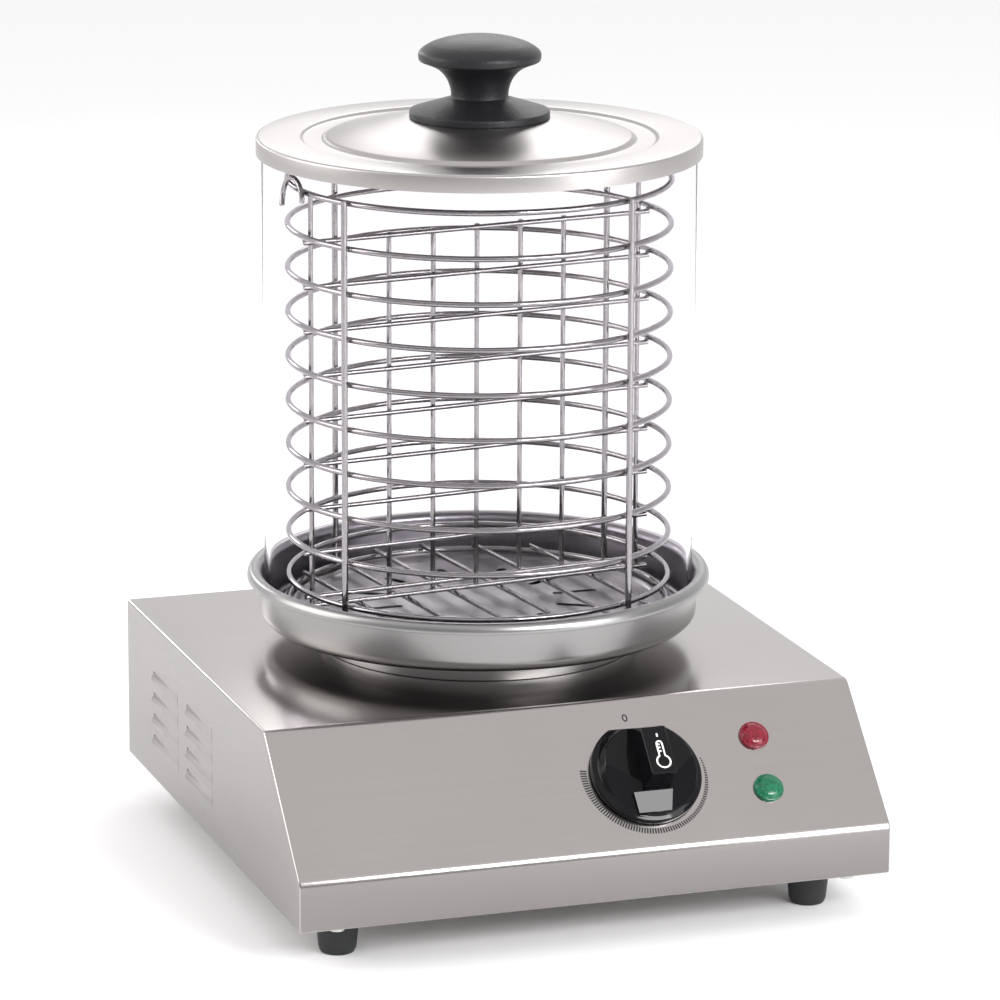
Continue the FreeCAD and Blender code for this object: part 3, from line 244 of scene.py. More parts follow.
def closeGroup(tree, start, end, grain, cloudScale):
    centred = mathNode(tree, "SUBTRACT", grain, brushing["middle"])
    link(tree, mathNode(tree, "MULTIPLY", centred, start.outputs["Depth"]), end.inputs["Grain"])
    cloud = noiseNode(tree, start.outputs["Vector"], cloudScale)
    link(tree, mathNode(tree, "SUBTRACT", cloud, brushing["middle"]), end.inputs["Shade"])
    return tree


def makeGrainGroup():
    # straight brushing: the stretch is small along the scratches and large across them
    tree, start, end = newGroup("straightGrain", ("Stretch", "Vector", (30.0, 2600.0, 2600.0)), 0.5)
    stretched = tree.nodes.new("ShaderNodeVectorMath")
    stretched.operation = "MULTIPLY"
    link(tree, start.outputs["Vector"], stretched.inputs[0])
    link(tree, start.outputs["Stretch"], stretched.inputs[1])
    grain = scratches(tree, stretched.outputs[0], brushing["straightBroad"])
    return closeGroup(tree, start, end, grain, brushing["sheetCloud"])


def makeTurnedGroup():
    # turned brushing: rings about the glass axis
    tree, start, end = newGroup("turnedGrain", ("Rings", "Float", 1500.0), 0.5)
    split = tree.nodes.new("ShaderNodeSeparateXYZ")
    link(tree, start.outputs["Vector"], split.inputs[0])
    squared = mathNode(tree, "ADD", mathNode(tree, "MULTIPLY", split.outputs["X"], split.outputs["X"]),
                       mathNode(tree, "MULTIPLY", split.outputs["Y"], split.outputs["Y"]))
    radius = mathNode(tree, "SQRT", squared)
    turn = mathNode(tree, "ARCTAN2", split.outputs["Y"], split.outputs["X"])
    join = tree.nodes.new("ShaderNodeCombineXYZ")
    link(tree, mathNode(tree, "MULTIPLY", radius, start.outputs["Rings"]), join.inputs["X"])
    link(tree, mathNode(tree, "MULTIPLY", turn, brushing["turnStretch"]), join.inputs["Y"])
    link(tree, mathNode(tree, "MULTIPLY", split.outputs["Z"], start.outputs["Rings"]), join.inputs["Z"])
    grain = scratches(tree, join.outputs[0], brushing["turnedBroad"])
    return closeGroup(tree, start, end, grain, brushing["spunCloud"])


def makeSpeckGroup():
    # fine moulded or cast texture
    tree, start, end = newGroup("mouldedSpeck", ("Size", "Float", 2600.0), 1.0)
    grain = noiseNode(tree, start.outputs["Vector"], start.outputs["Size"])
    return closeGroup(tree, start, end, grain, brushing["mouldedCloud"])


grainGroup = makeGrainGroup()
turnedGroup = makeTurnedGroup()
speckGroup = makeSpeckGroup()

plainFinish = {"metallic": 0.0, "contrast": 0.1, "cloud": 0.3, "roughSpread": 0.1, "roughCloud": 0.05,
               "bump": 0.1, "bumpReach": 0.0002}


def makeFinish(name, given, group=None, settings=None, centre=(0, 0, 0), sockets=None):
    # one material: the group's grain shades the colour, roughness and height
    values = {**plainFinish, **given}
    material = bpy.data.materials.new(name)
    material.use_nodes = True
    tree = material.node_tree
    shader = tree.nodes["Principled BSDF"]
    shader.inputs["Base Color"].default_value = (*values["colour"], 1)
    shader.inputs["Roughness"].default_value = values["roughness"]
    shader.inputs["Metallic"].default_value = values["metallic"]
    for label, value in (sockets or {}).items():
        shader.inputs[label].default_value = value
    if group is None:
        return material
    place = tree.nodes.new("ShaderNodeTexCoord")
    mapping = tree.nodes.new("ShaderNodeMapping")
    mapping.inputs["Location"].default_value = centre
    link(tree, place.outputs["Object"], mapping.inputs["Vector"])
    grain = tree.nodes.new("ShaderNodeGroup")
    grain.node_tree = group
    link(tree, mapping.outputs["Vector"], grain.inputs["Vector"])
    for label, value in (settings or {}).items():
        grain.inputs[label].default_value = value
    mix = tree.nodes.new("ShaderNodeMix")
    mix.data_type = "RGBA"
    for socket, change in (("A", 1 - values["contrast"]), ("B", 1 + values["contrast"])):
        mix.inputs[socket].default_value = (*(min(1.0, part * change) for part in values["colour"]), 1)
    shade = mathNode(tree, "ADD", grain.outputs["Grain"],
                     mathNode(tree, "MULTIPLY", grain.outputs["Shade"], values["cloud"]))
    link(tree, mathNode(tree, "ADD", shade, brushing["middle"]), mix.inputs["Factor"])
    link(tree, mix.outputs["Result"], shader.inputs["Base Color"])
    uneven = mathNode(tree, "MULTIPLY_ADD", grain.outputs["Grain"], values["roughSpread"],
                      values["roughness"])
    smear = mathNode(tree, "MULTIPLY_ADD", grain.outputs["Shade"], values["roughCloud"], uneven)
    link(tree, smear, shader.inputs["Roughness"])
    bump = tree.nodes.new("ShaderNodeBump")
    bump.inputs["Strength"].default_value = values["bump"]
    bump.inputs["Distance"].default_value = values["bumpReach"]
    link(tree, grain.outputs["Grain"], bump.inputs["Height"])
    link(tree, bump.outputs["Normal"], shader.inputs["Normal"])
    return material


axisY = (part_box("glass_cylinder")[0].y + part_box("glass_cylinder")[1].y) / 2
onAxis = (0, -axisY, 0)
alongX = (26.0, 2200.0, 2200.0)
alongY = (2200.0, 26.0, 2200.0)


def sheetSteel(name, colour, roughness, stretch):
    return makeFinish(name, {
        "colour": colour, "roughness": roughness, "metallic": 1.0, "contrast": 0.05, "cloud": 0.5,
        "roughSpread": 0.10, "roughCloud": 0.06, "bump": 0.05},
        grainGroup, {"Stretch": stretch, "Depth": 1.0})


def speckled(name, given, size, depth, sockets=None):
    return makeFinish(name, given, speckGroup, {"Size": size, "Depth": depth}, sockets=sockets)


def spunSteel(name, given, rings, anisotropic):
    return makeFinish(name, {"metallic": 1.0, "roughCloud": 0.05, **given}, turnedGroup,
                      {"Rings": rings, "Depth": 1.0}, centre=onAxis, sockets={"Anisotropic": anisotropic})


def makeLens(name, colour, glow):
    # a tinted lens with a strong speckle for the prisms under it
    return speckled(name, {
        "colour": colour, "roughness": 0.16, "contrast": 0.95, "cloud": 0.4, "roughSpread": 0.1,
        "bump": 0.25, "bumpReach": 0.0004}, 900.0, 1.4, {
            "Coat Weight": 0.35, "Coat Roughness": 0.05, "Emission Color": (*glow, 1),
            "Emission Strength": 0.05, "Specular IOR Level": 0.35})


def makeGlass():
    # shadow rays go straight through, so that the walls throw no dark shadow
    material = makeFinish("clearGlass", {"colour": (0.958, 0.942, 0.972), "roughness": 0.0}, sockets={
        "Transmission Weight": 1.0, "IOR": 1.02})
    tree = material.node_tree
    clear = tree.nodes.new("ShaderNodeBsdfTransparent")
    clear.inputs["Color"].default_value = (0.95, 0.945, 0.97, 1)
    rays = tree.nodes.new("ShaderNodeLightPath")
    mix = tree.nodes.new("ShaderNodeMixShader")
    link(tree, rays.outputs["Is Shadow Ray"], mix.inputs["Fac"])
    link(tree, tree.nodes["Principled BSDF"].outputs[0], mix.inputs[1])
    link(tree, clear.outputs[0], mix.inputs[2])
    link(tree, mix.outputs[0], tree.nodes["Material Output"].inputs["Surface"])
    return material


finishes = {
    # painted shade: the sides and the front lip are darker copies of the top's steel, because they stand
    # across the light
    "brushed_stainless": sheetSteel("brushedStainless", (0.428, 0.404, 0.394), 0.19, alongX),
    # painted shade: the front lip's copy of the steel is darker still
    "shaded_lip_stainless": sheetSteel("brushedStainlessShadedLip", (0.276, 0.261, 0.255), 0.22, alongX),
    "shaded_side_stainless": sheetSteel("brushedStainlessShadedSides", (0.304, 0.288, 0.282), 0.26, alongY),
    "pan_stainless": spunSteel("spunStainless", {
        "colour": (0.305, 0.30, 0.298), "roughness": 0.29, "contrast": 0.04, "cloud": 0.4,
        "roughSpread": 0.05, "bump": 0.008}, 1300.0, 0.3),
    "lid_stainless": spunSteel("pressedLidStainless", {
        "colour": (0.455, 0.436, 0.428), "roughness": 0.31, "contrast": 0.06, "cloud": 0.3,
        "roughSpread": 0.08, "bump": 0.03}, 1500.0, 0.72),
    "basket_chrome": speckled("platedWire", {
        "colour": (0.33, 0.322, 0.317), "roughness": 0.12, "metallic": 1.0, "contrast": 0.08, "cloud": 0.6,
        "roughSpread": 0.06, "roughCloud": 0.12, "bump": 0.04}, 900.0, 0.6),
    "plated_steel": speckled("zincPlate", {
        "colour": (0.55, 0.55, 0.53), "roughness": 0.32, "metallic": 1.0, "contrast": 0.1, "cloud": 0.6,
        "roughSpread": 0.1, "roughCloud": 0.1, "bump": 0.05}, 1200.0, 0.8),
    "heater_aluminium": speckled("castAluminium", {
        "colour": (0.60, 0.60, 0.60), "roughness": 0.48, "metallic": 1.0, "contrast": 0.15, "cloud": 0.6,
        "bump": 0.2}, 700.0, 1.0),
    "element_tube": speckled("oxidisedSheath", {
        "colour": (0.11, 0.10, 0.09), "roughness": 0.62, "metallic": 0.6, "contrast": 0.3, "cloud": 0.8,
        "bump": 0.15}, 900.0, 1.0),
    "copper_brass": speckled("copperAndBrass", {
        "colour": (0.66, 0.40, 0.22), "roughness": 0.35, "metallic": 1.0, "contrast": 0.15, "cloud": 0.6,
        "bump": 0.05}, 900.0, 0.8),
    "thermostat_plastic": speckled("phenolicMoulding", {
        "colour": (0.035, 0.03, 0.027), "roughness": 0.5, "contrast": 0.2, "cloud": 0.5,
        "bump": 0.1}, 1800.0, 0.8),
    "pale_plastic": speckled("paleMoulding", {
        "colour": (0.66, 0.65, 0.60), "roughness": 0.45, "contrast": 0.06, "cloud": 0.5,
        "bump": 0.06}, 1800.0, 0.8),
    "black_plastic": speckled("mattBlackMoulding", {
        "colour": (0.012, 0.012, 0.014), "roughness": 0.38, "contrast": 0.35, "cloud": 0.4,
        "roughSpread": 0.2, "bump": 0.45, "bumpReach": 0.0003}, 1500.0, 1.2, {"Specular IOR Level": 0.34}),
    "gloss_black_plastic": speckled("polishedBlackMoulding", {
        "colour": (0.004, 0.004, 0.005), "roughness": 0.07, "contrast": 0.2, "cloud": 0.4,
        "roughSpread": 0.03, "roughCloud": 0.05, "bump": 0.02}, 500.0, 0.5, {"Specular IOR Level": 0.20}),
    "black_rubber": speckled("blackRubber", {
        "colour": (0.014, 0.015, 0.016), "roughness": 0.55, "contrast": 0.3, "cloud": 0.8,
        "roughSpread": 0.15, "bump": 0.2}, 1500.0, 1.0),
    "clear_glass": makeGlass(),
    "red_lens": makeLens("redLens", (0.15, 0.002, 0.014), (0.8, 0.02, 0.05)),
    "green_lens": makeLens("greenLens", (0.001, 0.10, 0.045), (0.01, 0.5, 0.25)),
    "black_print": speckled("blackPrint", {
        "colour": (0.008, 0.008, 0.008), "roughness": 0.6, "contrast": 0.2}, 1500.0, 1.0),
    "white_print": speckled("whitePrint", {
        "colour": (0.82, 0.82, 0.82), "roughness": 0.4, "contrast": 0.05}, 1500.0, 1.0),
}
print("finishes mixed:", len(finishes))


# carried-over CAD nodes take the finish of their slot

slotOf = {part["node"]: part["material_slot"] for part in frame["record"]["subparts"]}
for label, thing in nodes.items():
    thing.data.materials.clear()
    thing.data.materials.append(finishes[slotOf[label]])


# modelling helpers: a shape starts as a few vertices, a create_ shape or a curve

# metres: spun vertices within joinReach become one, and what differs by samePlace lies in one place
joinReach = 1e-6
samePlace = 1e-7
# steps of a profile's roundings, and the angle below which round wires shade smooth
roundSteps = 5
wireSmooth = 60.0
beadSegments = (10, 6)


def meshOf(bm, name):
    mesh = bpy.data.meshes.new(name)
    bm.to_mesh(mesh)
    bm.free()
    return mesh


def finishPiece(bm, name, finish, body, node=None, smooth=35.0):
    # writes the mesh, shades it, and hangs it on its body
    bmesh.ops.triangulate(bm, faces=[face for face in bm.faces if len(face.verts) > 4])
    for face in bm.faces:
        face.smooth = True
    for edge in bm.edges:
        if len(edge.link_faces) == 2:
            edge.smooth = edge.calc_face_angle(0) < math.radians(smooth)
    piece = bpy.data.objects.new(name, meshOf(bm, name))
    bpy.context.scene.collection.objects.link(piece)
    piece.data.materials.append(finishes[finish])
    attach(piece, body)
    if node:
        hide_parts(node)
    return piece


def bevel(bm, geom, offset, segments, affect="EDGES", clamp=False):
    bmesh.ops.bevel(bm, geom=geom, affect=affect, offset=offset * mm, segments=segments, profile=0.5,
                    material=-1, clamp_overlap=clamp)


def extrude(bm, face, vec):
    # pushes a face out into a solid
    grown = bmesh.ops.extrude_face_region(bm, geom=[face])["geom"]
    bmesh.ops.translate(bm, verts=[item for item in grown if isinstance(item, bmesh.types.BMVert)], vec=vec)
    bmesh.ops.recalc_face_normals(bm, faces=bm.faces)


def spin(bm, steps):
    # a full turn of all that the mesh holds
    bmesh.ops.spin(bm, geom=bm.verts[:] + bm.edges[:], cent=(0, 0, 0), axis=(0, 0, 1), dvec=(0, 0, 0),
                   angle=math.tau, steps=steps, use_merge=True, use_duplicate=False)
    bmesh.ops.remove_doubles(bm, verts=bm.verts, dist=joinReach)
    bmesh.ops.recalc_face_normals(bm, faces=bm.faces)


def spunProfile(profile, steps):
    # each point is (radius, height), or that and a rounding; a profile that starts off the axis is closed
    bm = bmesh.new()
    points = list(profile.values())
    verts = [bm.verts.new((point[0] * mm, 0, point[1] * mm)) for point in points]
    for pair in zip(verts, verts[1:]):
        bm.edges.new(pair)
    if points[0][0] > 0:
        bm.edges.new((verts[-1], verts[0]))
    for vert, point in zip(verts, points):
        if len(point) > 2:
            bevel(bm, [vert], point[2], roundSteps, "VERTICES")
    spin(bm, steps)
    return bm


def turned(shape):
    # a spun piece's mesh on the glass axis
    bm = spunProfile(shape["profile"], shape["steps"])
    bmesh.ops.translate(bm, verts=bm.verts, vec=(0, axisY, shape.get("height", 0.0) * mm))
    return bm


def wireMesh(runs, radius, sides=12):
    # each run is (points, closed) in metres; a curve carries the wire, and its mesh comes back
    curve = bpy.data.curves.new("wire", "CURVE")
    curve.dimensions = "3D"
    curve.bevel_depth = radius * mm
    curve.bevel_resolution = max(0, sides // 2 - 2)
    curve.use_fill_caps = True
    for points, closed in runs:
        spline = curve.splines.new("POLY")
        spline.points.add(len(points) - 1)
        for target, point in zip(spline.points, points):
            target.co = (*point, 1)
        spline.use_cyclic_u = closed
    holder = bpy.data.objects.new("wire", curve)
    bpy.context.scene.collection.objects.link(holder)
    mesh = bpy.data.meshes.new_from_object(holder)
    bpy.data.objects.remove(holder)
    bpy.data.curves.remove(curve)
    bm = bmesh.new()
    bm.from_mesh(mesh)
    bpy.data.meshes.remove(mesh)
    bmesh.ops.remove_doubles(bm, verts=bm.verts, dist=samePlace)
    bmesh.ops.recalc_face_normals(bm, faces=bm.faces)
    return bm


def blob(bm, place, size):
    # a small flattened weld bead
    around, along = beadSegments
    made = bmesh.ops.create_uvsphere(bm, u_segments=around, v_segments=along, radius=1.0)
    bmesh.ops.scale(bm, verts=made["verts"], vec=Vector(size) * mm)
    bmesh.ops.translate(bm, verts=made["verts"], vec=place)


def addPart(bm, part):
    # moves a finished part into the piece's mesh
    mesh = meshOf(part, "part")
    bm.from_mesh(mesh)
    bpy.data.meshes.remove(mesh)


def carve(target, cutter, operation="DIFFERENCE"):
    # cuts the cutter's shape out of the target's mesh, or joins it on
    helper = bpy.data.objects.new("cutter", cutter)
    bpy.context.scene.collection.objects.link(helper)
    modifier = target.modifiers.new("cut", "BOOLEAN")
    modifier.operation = operation
    modifier.solver = "EXACT"
    modifier.object = helper
    cut = bpy.data.meshes.new_from_object(target.evaluated_get(bpy.context.evaluated_depsgraph_get()))
    target.modifiers.clear()
    target.data = cut
    bpy.data.objects.remove(helper)


def aroundAxis(radius, degrees, height):
    return Vector((radius * mm * math.cos(math.radians(degrees)),
                   axisY + radius * mm * math.sin(math.radians(degrees)), height * mm))


# base housing: one folded sheet with pressed louvres

housing = {
    "width": 277.8, "front": -144.153, "rear": 144.153, "slopeTop": -89.847,
    "bottom": 20.5, "lip": 43.0, "top": 97.306,
    "sheet": 1.0, "fold": 2.2, "sideFold": 1.1, "foldSteps": 4, "flange": 13.0, "flangeGap": 0.05,
    # how far a face or edge may lie from the level it is picked by
    "rearSlack": 0.1, "foldSlack": 1.0, "lowSlack": 0.01,
    # edges sharper than this are the rims of the side panels
    "rimAngle": 60.0,
    # the normals that tell the side panels and the front lip
    "sideNormal": 0.9, "lipNormal": -0.97,
}

louvre = {
    "length": 40.0, "half": 2.9, "rise": 0.9, "root": 1.6, "skin": 0.5, "crownShare": 0.3,
    "rounds": (0.9, 0.8, 0.8, 0.9), "roundSteps": 4,
    "taper": 13.0, "brow": 2.6, "mouthShare": 2.1, "fadeShare": 0.03, "lift": 0.04,
    "rows": 4, "pitch": 10.4, "low": 40.5, "mouths": (94.153, 35.153),
    "slot": 2.5, "slotPast": 3.0, "slotDepth": 6.0,
}


def louvrePlaces():
    for mouth in louvre["mouths"]:
        for row in range(louvre["rows"]):
            for sign in (-1, 1):
                yield mouth, louvre["low"] + louvre["pitch"] * row, sign


def buildHousing():
    shape = housing
    half = shape["width"] / 2
    bm = bmesh.new()
    corners = [(shape["front"], shape["bottom"]), (shape["front"], shape["lip"]),
               (shape["slopeTop"], shape["top"]), (shape["rear"], shape["top"]),
               (shape["rear"], shape["bottom"])]
    side = bm.faces.new([bm.verts.new((-half * mm, y * mm, z * mm)) for y, z in corners])
    extrude(bm, side, (shape["width"] * mm, 0, 0))
    back = [face for face in bm.faces
            if face.calc_center_median().y > (shape["rear"] - shape["rearSlack"]) * mm]
    bmesh.ops.delete(bm, geom=back, context="FACES")
    folds = [edge for edge in bm.edges if len(edge.link_faces) == 2
             and abs(edge.verts[0].co.x - edge.verts[1].co.x) > half * mm
             and edge.verts[0].co.z > (shape["bottom"] + shape["foldSlack"]) * mm]
    bevel(bm, folds, shape["fold"], shape["foldSteps"])
    rims = [edge for edge in bm.edges
            if len(edge.link_faces) == 2 and edge.calc_face_angle(0) > math.radians(shape["rimAngle"])]
    bevel(bm, rims, shape["sideFold"], shape["foldSteps"], clamp=True)
    bmesh.ops.recalc_face_normals(bm, faces=bm.faces)
    low = [face for face in bm.faces
           if max(vert.co.z for vert in face.verts) < (shape["bottom"] + shape["lowSlack"]) * mm]
    bmesh.ops.delete(bm, geom=low, context="FACES")
    bmesh.ops.solidify(bm, geom=bm.faces[:], thickness=shape["sheet"] * mm)
    bmesh.ops.recalc_face_normals(bm, faces=bm.faces)
    return bm


def louvreSlots():
    bm = bmesh.new()
    half = housing["width"] / 2
    reach = louvre["length"] - louvre["taper"] + louvre["slotPast"]
    for mouth, level, sign in louvrePlaces():
        made = bmesh.ops.create_cube(bm, size=1.0)
        bmesh.ops.scale(bm, verts=made["verts"],
                        vec=Vector((louvre["slotDepth"], reach, louvre["slot"] * 2)) * mm)
        bmesh.ops.translate(bm, verts=made["verts"], vec=Vector((
            half * sign, mouth + louvre["slotPast"] - reach / 2, level)) * mm)
    return meshOf(bm, "louvreSlots")


def paintSideAndLipShade(piece):
    # faces of the side panels and the front lip take the darker copies of the steel: painted shade
    piece.data.materials.append(finishes["shaded_side_stainless"])
    piece.data.materials.append(finishes["shaded_lip_stainless"])
    for polygon in piece.data.polygons:
        if abs(polygon.normal.x) > housing["sideNormal"]:
            polygon.material_index = 1
        elif polygon.normal.y < housing["lipNormal"]:
            polygon.material_index = 2


def louvreHood():
    # one hood at the origin, raised toward +X, with its mouth toward +Y
    shape = louvre
    hood = bmesh.new()
    crown = shape["half"] * shape["crownShare"]
    section = [(0, -shape["half"] - shape["root"]), (0, -shape["half"]), (shape["rise"], -crown),
               (shape["rise"], crown), (0, shape["half"]), (0, shape["half"] + shape["root"])]
    verts = [hood.verts.new((x * mm, 0, z * mm)) for x, z in section]
    for pair in zip(verts, verts[1:]):
        hood.edges.new(pair)
    for vert, amount in zip(verts[1:-1], shape["rounds"]):
        bevel(hood, [vert], amount, shape["roundSteps"], "VERTICES")
    # from the raised mouth down to the crown, then a long fade into the panel
    line = hood.edges[:]
    for reach, share in ((shape["brow"], 1.0), (shape["length"] - shape["taper"] - shape["brow"], 1.0),
                         (shape["taper"], shape["fadeShare"])):
        drawn = bmesh.ops.extrude_edge_only(hood, edges=line)["geom"]
        far = [item for item in drawn if isinstance(item, bmesh.types.BMVert)]
        line = [item for item in drawn if isinstance(item, bmesh.types.BMEdge)
                and item.verts[0] in far and item.verts[1] in far]
        bmesh.ops.translate(hood, verts=far, vec=(0, -reach * mm, 0))
        for vert in far:
            vert.co.x *= share
    for vert in hood.verts:
        if vert.co.y > -samePlace:
            vert.co.x *= shape["mouthShare"]
    bmesh.ops.recalc_face_normals(hood, faces=hood.faces)
    if sum(face.normal.x for face in hood.faces) < 0:
        bmesh.ops.reverse_faces(hood, faces=hood.faces)
    bmesh.ops.solidify(hood, geom=hood.faces[:], thickness=shape["skin"] * mm)
    return hood


def buildLouvres():
    bm = bmesh.new()
    out = housing["width"] / 2 + louvre["lift"]
    for mouth, level, sign in louvrePlaces():
        hood = louvreHood()
        if sign < 0:
            for vert in hood.verts:
                vert.co.x = -vert.co.x
            bmesh.ops.reverse_faces(hood, faces=hood.faces)
        bmesh.ops.translate(hood, verts=hood.verts, vec=Vector((out * sign, mouth, level)) * mm)
        bmesh.ops.recalc_face_normals(hood, faces=hood.faces)
        addPart(bm, hood)
    return bm


def buildFlange():
    # the sheet's lower edges folded in
    shape = housing
    half = shape["width"] / 2 - shape["sheet"] - shape["flangeGap"]
    front = shape["front"] + shape["sheet"] + shape["flangeGap"]
    inner = shape["width"] / 2 - shape["flange"]
    fold = shape["front"] + shape["flange"]
    bm = bmesh.new()
    corners = [(-half, front), (half, front), (half, shape["rear"]), (inner, shape["rear"]), (inner, fold),
               (-inner, fold), (-inner, shape["rear"]), (-half, shape["rear"])]
    face = bm.faces.new([bm.verts.new((x * mm, y * mm, shape["bottom"] * mm)) for x, y in corners])
    extrude(bm, face, (0, 0, shape["sheet"] * mm))
    return bm


shell = finishPiece(buildHousing(), "housingShell", "brushed_stainless", "base", "housing_shell")
carve(shell, louvreSlots())
paintSideAndLipShade(shell)
# the louvre hoods take the side panels' darker copy of the steel: painted shade
finishPiece(buildLouvres(), "louvreHoods", "shaded_side_stainless", "base")
finishPiece(buildFlange(), "housingFlange", "brushed_stainless", "base")
print("housing folded")


# rubber feet

foot = {
    "profile": {
        "boreFoot": (2.1, 11.0), "wellTop": (4.8, 11.0, 0.6), "wellFoot": (4.8, 0, 0.4),
        "sole": (7.4, 0, 0.5), "soleEdge": (8.45, 2.2, 0.8), "shoulder": (10.2, 19.3, 0.5),
        "seatEdge": (10.0, 20.5, 0.3), "boreTop": (2.1, 20.5)},
    "steps": 48,
    "places": [(-112.0, -112.153), (112.0, -112.153), (-112.0, 112.153), (112.0, 112.153)],
}


def buildFeet():
    bm = bmesh.new()
    for x, y in foot["places"]:
        part = spunProfile(foot["profile"], foot["steps"])
        bmesh.ops.translate(part, verts=part.verts, vec=Vector((x, y, 0)) * mm)
        addPart(bm, part)
    return bm


finishPiece(buildFeet(), "rubberFeet", "black_rubber", "base", "rubber_feet")
print("feet moulded")


# collar, pan and steam plate, spun and pressed

collar = {
    "profile": {
        "seat": (59.6, 97.306), "seatEdge": (74.6, 97.306, 0.5), "wallTop": (74.6, 107.9, 0.6),
        "innerTop": (73.4, 108.25), "innerFoot": (73.4, 98.506), "seatTop": (59.6, 98.506)},
    "steps": 144,
}

pan = {
    "profile": {
        "floor": (0, 108.306), "floorEdge": (102.0, 108.306, 6.2), "wallTop": (102.0, 130.0, 1.2),
        "rollStart": (103.4, 132.1, 0.9), "rollInside": (106.0, 132.2, 0.9),
        "lipInside": (107.1, 130.6, 0.4), "lipFoot": (107.1, 128.4), "lipEdge": (108.1, 128.3, 0.3),
        "lipTop": (108.1, 130.8, 1.6), "crestOut": (106.3, 133.1, 1.4), "crestIn": (103.2, 133.1, 1.6),
        "innerTop": (101.0, 130.4, 1.2), "innerFoot": (101.0, 109.306, 5.4), "innerFloor": (0, 109.306)},
    "steps": 192,
}

steamPlate = {
    "profile": {
        "skirtFoot": (92.4, 109.41), "rim": (92.4, 116.1, 0.9), "grooveOut": (85.2, 116.1, 0.8),
        "grooveOutFloor": (83.8, 114.5, 0.7), "grooveInFloor": (76.4, 114.5, 0.7),
        "grooveIn": (75.0, 116.1, 0.8), "middle": (0, 116.1), "middleUnder": (0, 115.3),
        "grooveInUnder": (75.0, 115.3, 0.6), "grooveInBase": (76.4, 113.7, 0.6),
        "grooveOutBase": (83.8, 113.7, 0.6), "grooveOutUnder": (85.2, 115.3, 0.6),
        "rimUnder": (91.6, 115.3, 0.5), "skirtInside": (91.6, 109.41)},
    "steps": 144,
    "slots": 12, "slotSize": (22, 4, 8), "slotPlace": (48, 0, 115.5), "slotRound": 1.9, "slotSteps": 4,
}


def steamSlots():
    shape = steamPlate
    bm = bmesh.new()
    for index in range(shape["slots"]):
        part = bmesh.new()
        bmesh.ops.create_cube(part, size=1.0)
        bmesh.ops.scale(part, verts=part.verts, vec=Vector(shape["slotSize"]) * mm)
        upright = [edge for edge in part.edges
                   if abs(edge.verts[0].co.z - edge.verts[1].co.z) > shape["slotSize"][2] / 2 * mm]
        bevel(part, upright, shape["slotRound"], shape["slotSteps"])
        bmesh.ops.translate(part, verts=part.verts, vec=Vector(shape["slotPlace"]) * mm)
        bmesh.ops.rotate(part, verts=part.verts, cent=(0, 0, 0), matrix=Matrix.Rotation(
            math.tau / shape["slots"] * index, 3, "Z"))
        bmesh.ops.translate(part, verts=part.verts, vec=(0, axisY, 0))
        addPart(bm, part)
    return meshOf(bm, "steamSlots")


finishPiece(turned(collar), "panCollar", "pan_stainless", "base", "pan_collar")
finishPiece(turned(pan), "waterPan", "pan_stainless", "base", "water_pan")
carve(finishPiece(turned(steamPlate), "steamPlate", "pan_stainless", "insert", "steam_plate"), steamSlots())
print("pan and steam plate pressed")


# glass cylinder with fire-polished rims

glass = {
    "profile": {
        "footInside": (97.0, 112.306, 1.2), "foot": (100.0, 112.306, 1.2), "rim": (100.0, 335.506, 1.2),
        "rimInside": (97.0, 335.506, 1.2)},
    "steps": 192,
}

finishPiece(turned(glass), "glassCylinder", "clear_glass", "glass", "glass_cylinder")
print("glass placed")


# lid and its knob

lid = {
    "profile": {
        "skirtFoot": (102.6, 328.4), "rim": (102.6, 336.406, 1.3), "grooveOut": (82.4, 336.406, 0.8),
        "grooveOutFloor": (80.8, 334.95, 0.8), "grooveInFloor": (72.0, 334.95, 0.8),
        "coneFoot": (70.2, 336.5, 0.9), "cone": (52.0, 340.6, 3.0), "coneTop": (33.5, 344.806, 1.2),
        "bore": (2.7, 344.806), "boreUnder": (2.7, 344.006), "coneTopUnder": (33.5, 344.006, 0.8),
        "coneUnder": (52.0, 339.8, 3.0), "coneFootUnder": (70.0, 335.65, 0.9),
        "grooveInBase": (72.0, 334.15, 0.8), "grooveOutBase": (80.8, 334.15, 0.8),
        "grooveOutUnder": (82.6, 335.606, 0.8), "rimUnder": (101.8, 335.606, 0.6),
        "skirtInside": (101.8, 328.4)},
    "steps": 192,
}

lidKnob = {
    "profile": {
        "boreFoot": (2.5, 0), "flange": (32.3, 0, 0.4), "flangeEdge": (32.3, 3.2, 0.6),
        "flangeTop": (14.2, 8.9, 1.0), "neckFoot": (13.2, 9.6, 0.5), "neck": (13.2, 12.4, 1.8),
        "waist": (15.0, 18.0, 2.6), "throat": (19.2, 22.6, 2.6), "capUnder": (25.6, 25.4, 1.2),
        "capLow": (28.0, 26.2, 0.8), "capEdge": (28.4, 30.0, 1.6), "capShoulder": (24.0, 33.4, 2.6),
        "dome": (14.0, 36.9, 5.5), "top": (0, 37.9), "boreTop": (0, 14.0), "boreWall": (2.5, 14.0)},
    "steps": 96, "height": 344.806, "smooth": 40.0,
}

finishPiece(turned(lid), "lidPlate", "lid_stainless", "lid", "lid_plate")
finishPiece(turned(lidKnob), "lidKnob", "black_plastic", "lid", "lid_knob", smooth=lidKnob["smooth"])
print("lid pressed")


# wire basket: rings, uprights, base wires, divider grid and hooks

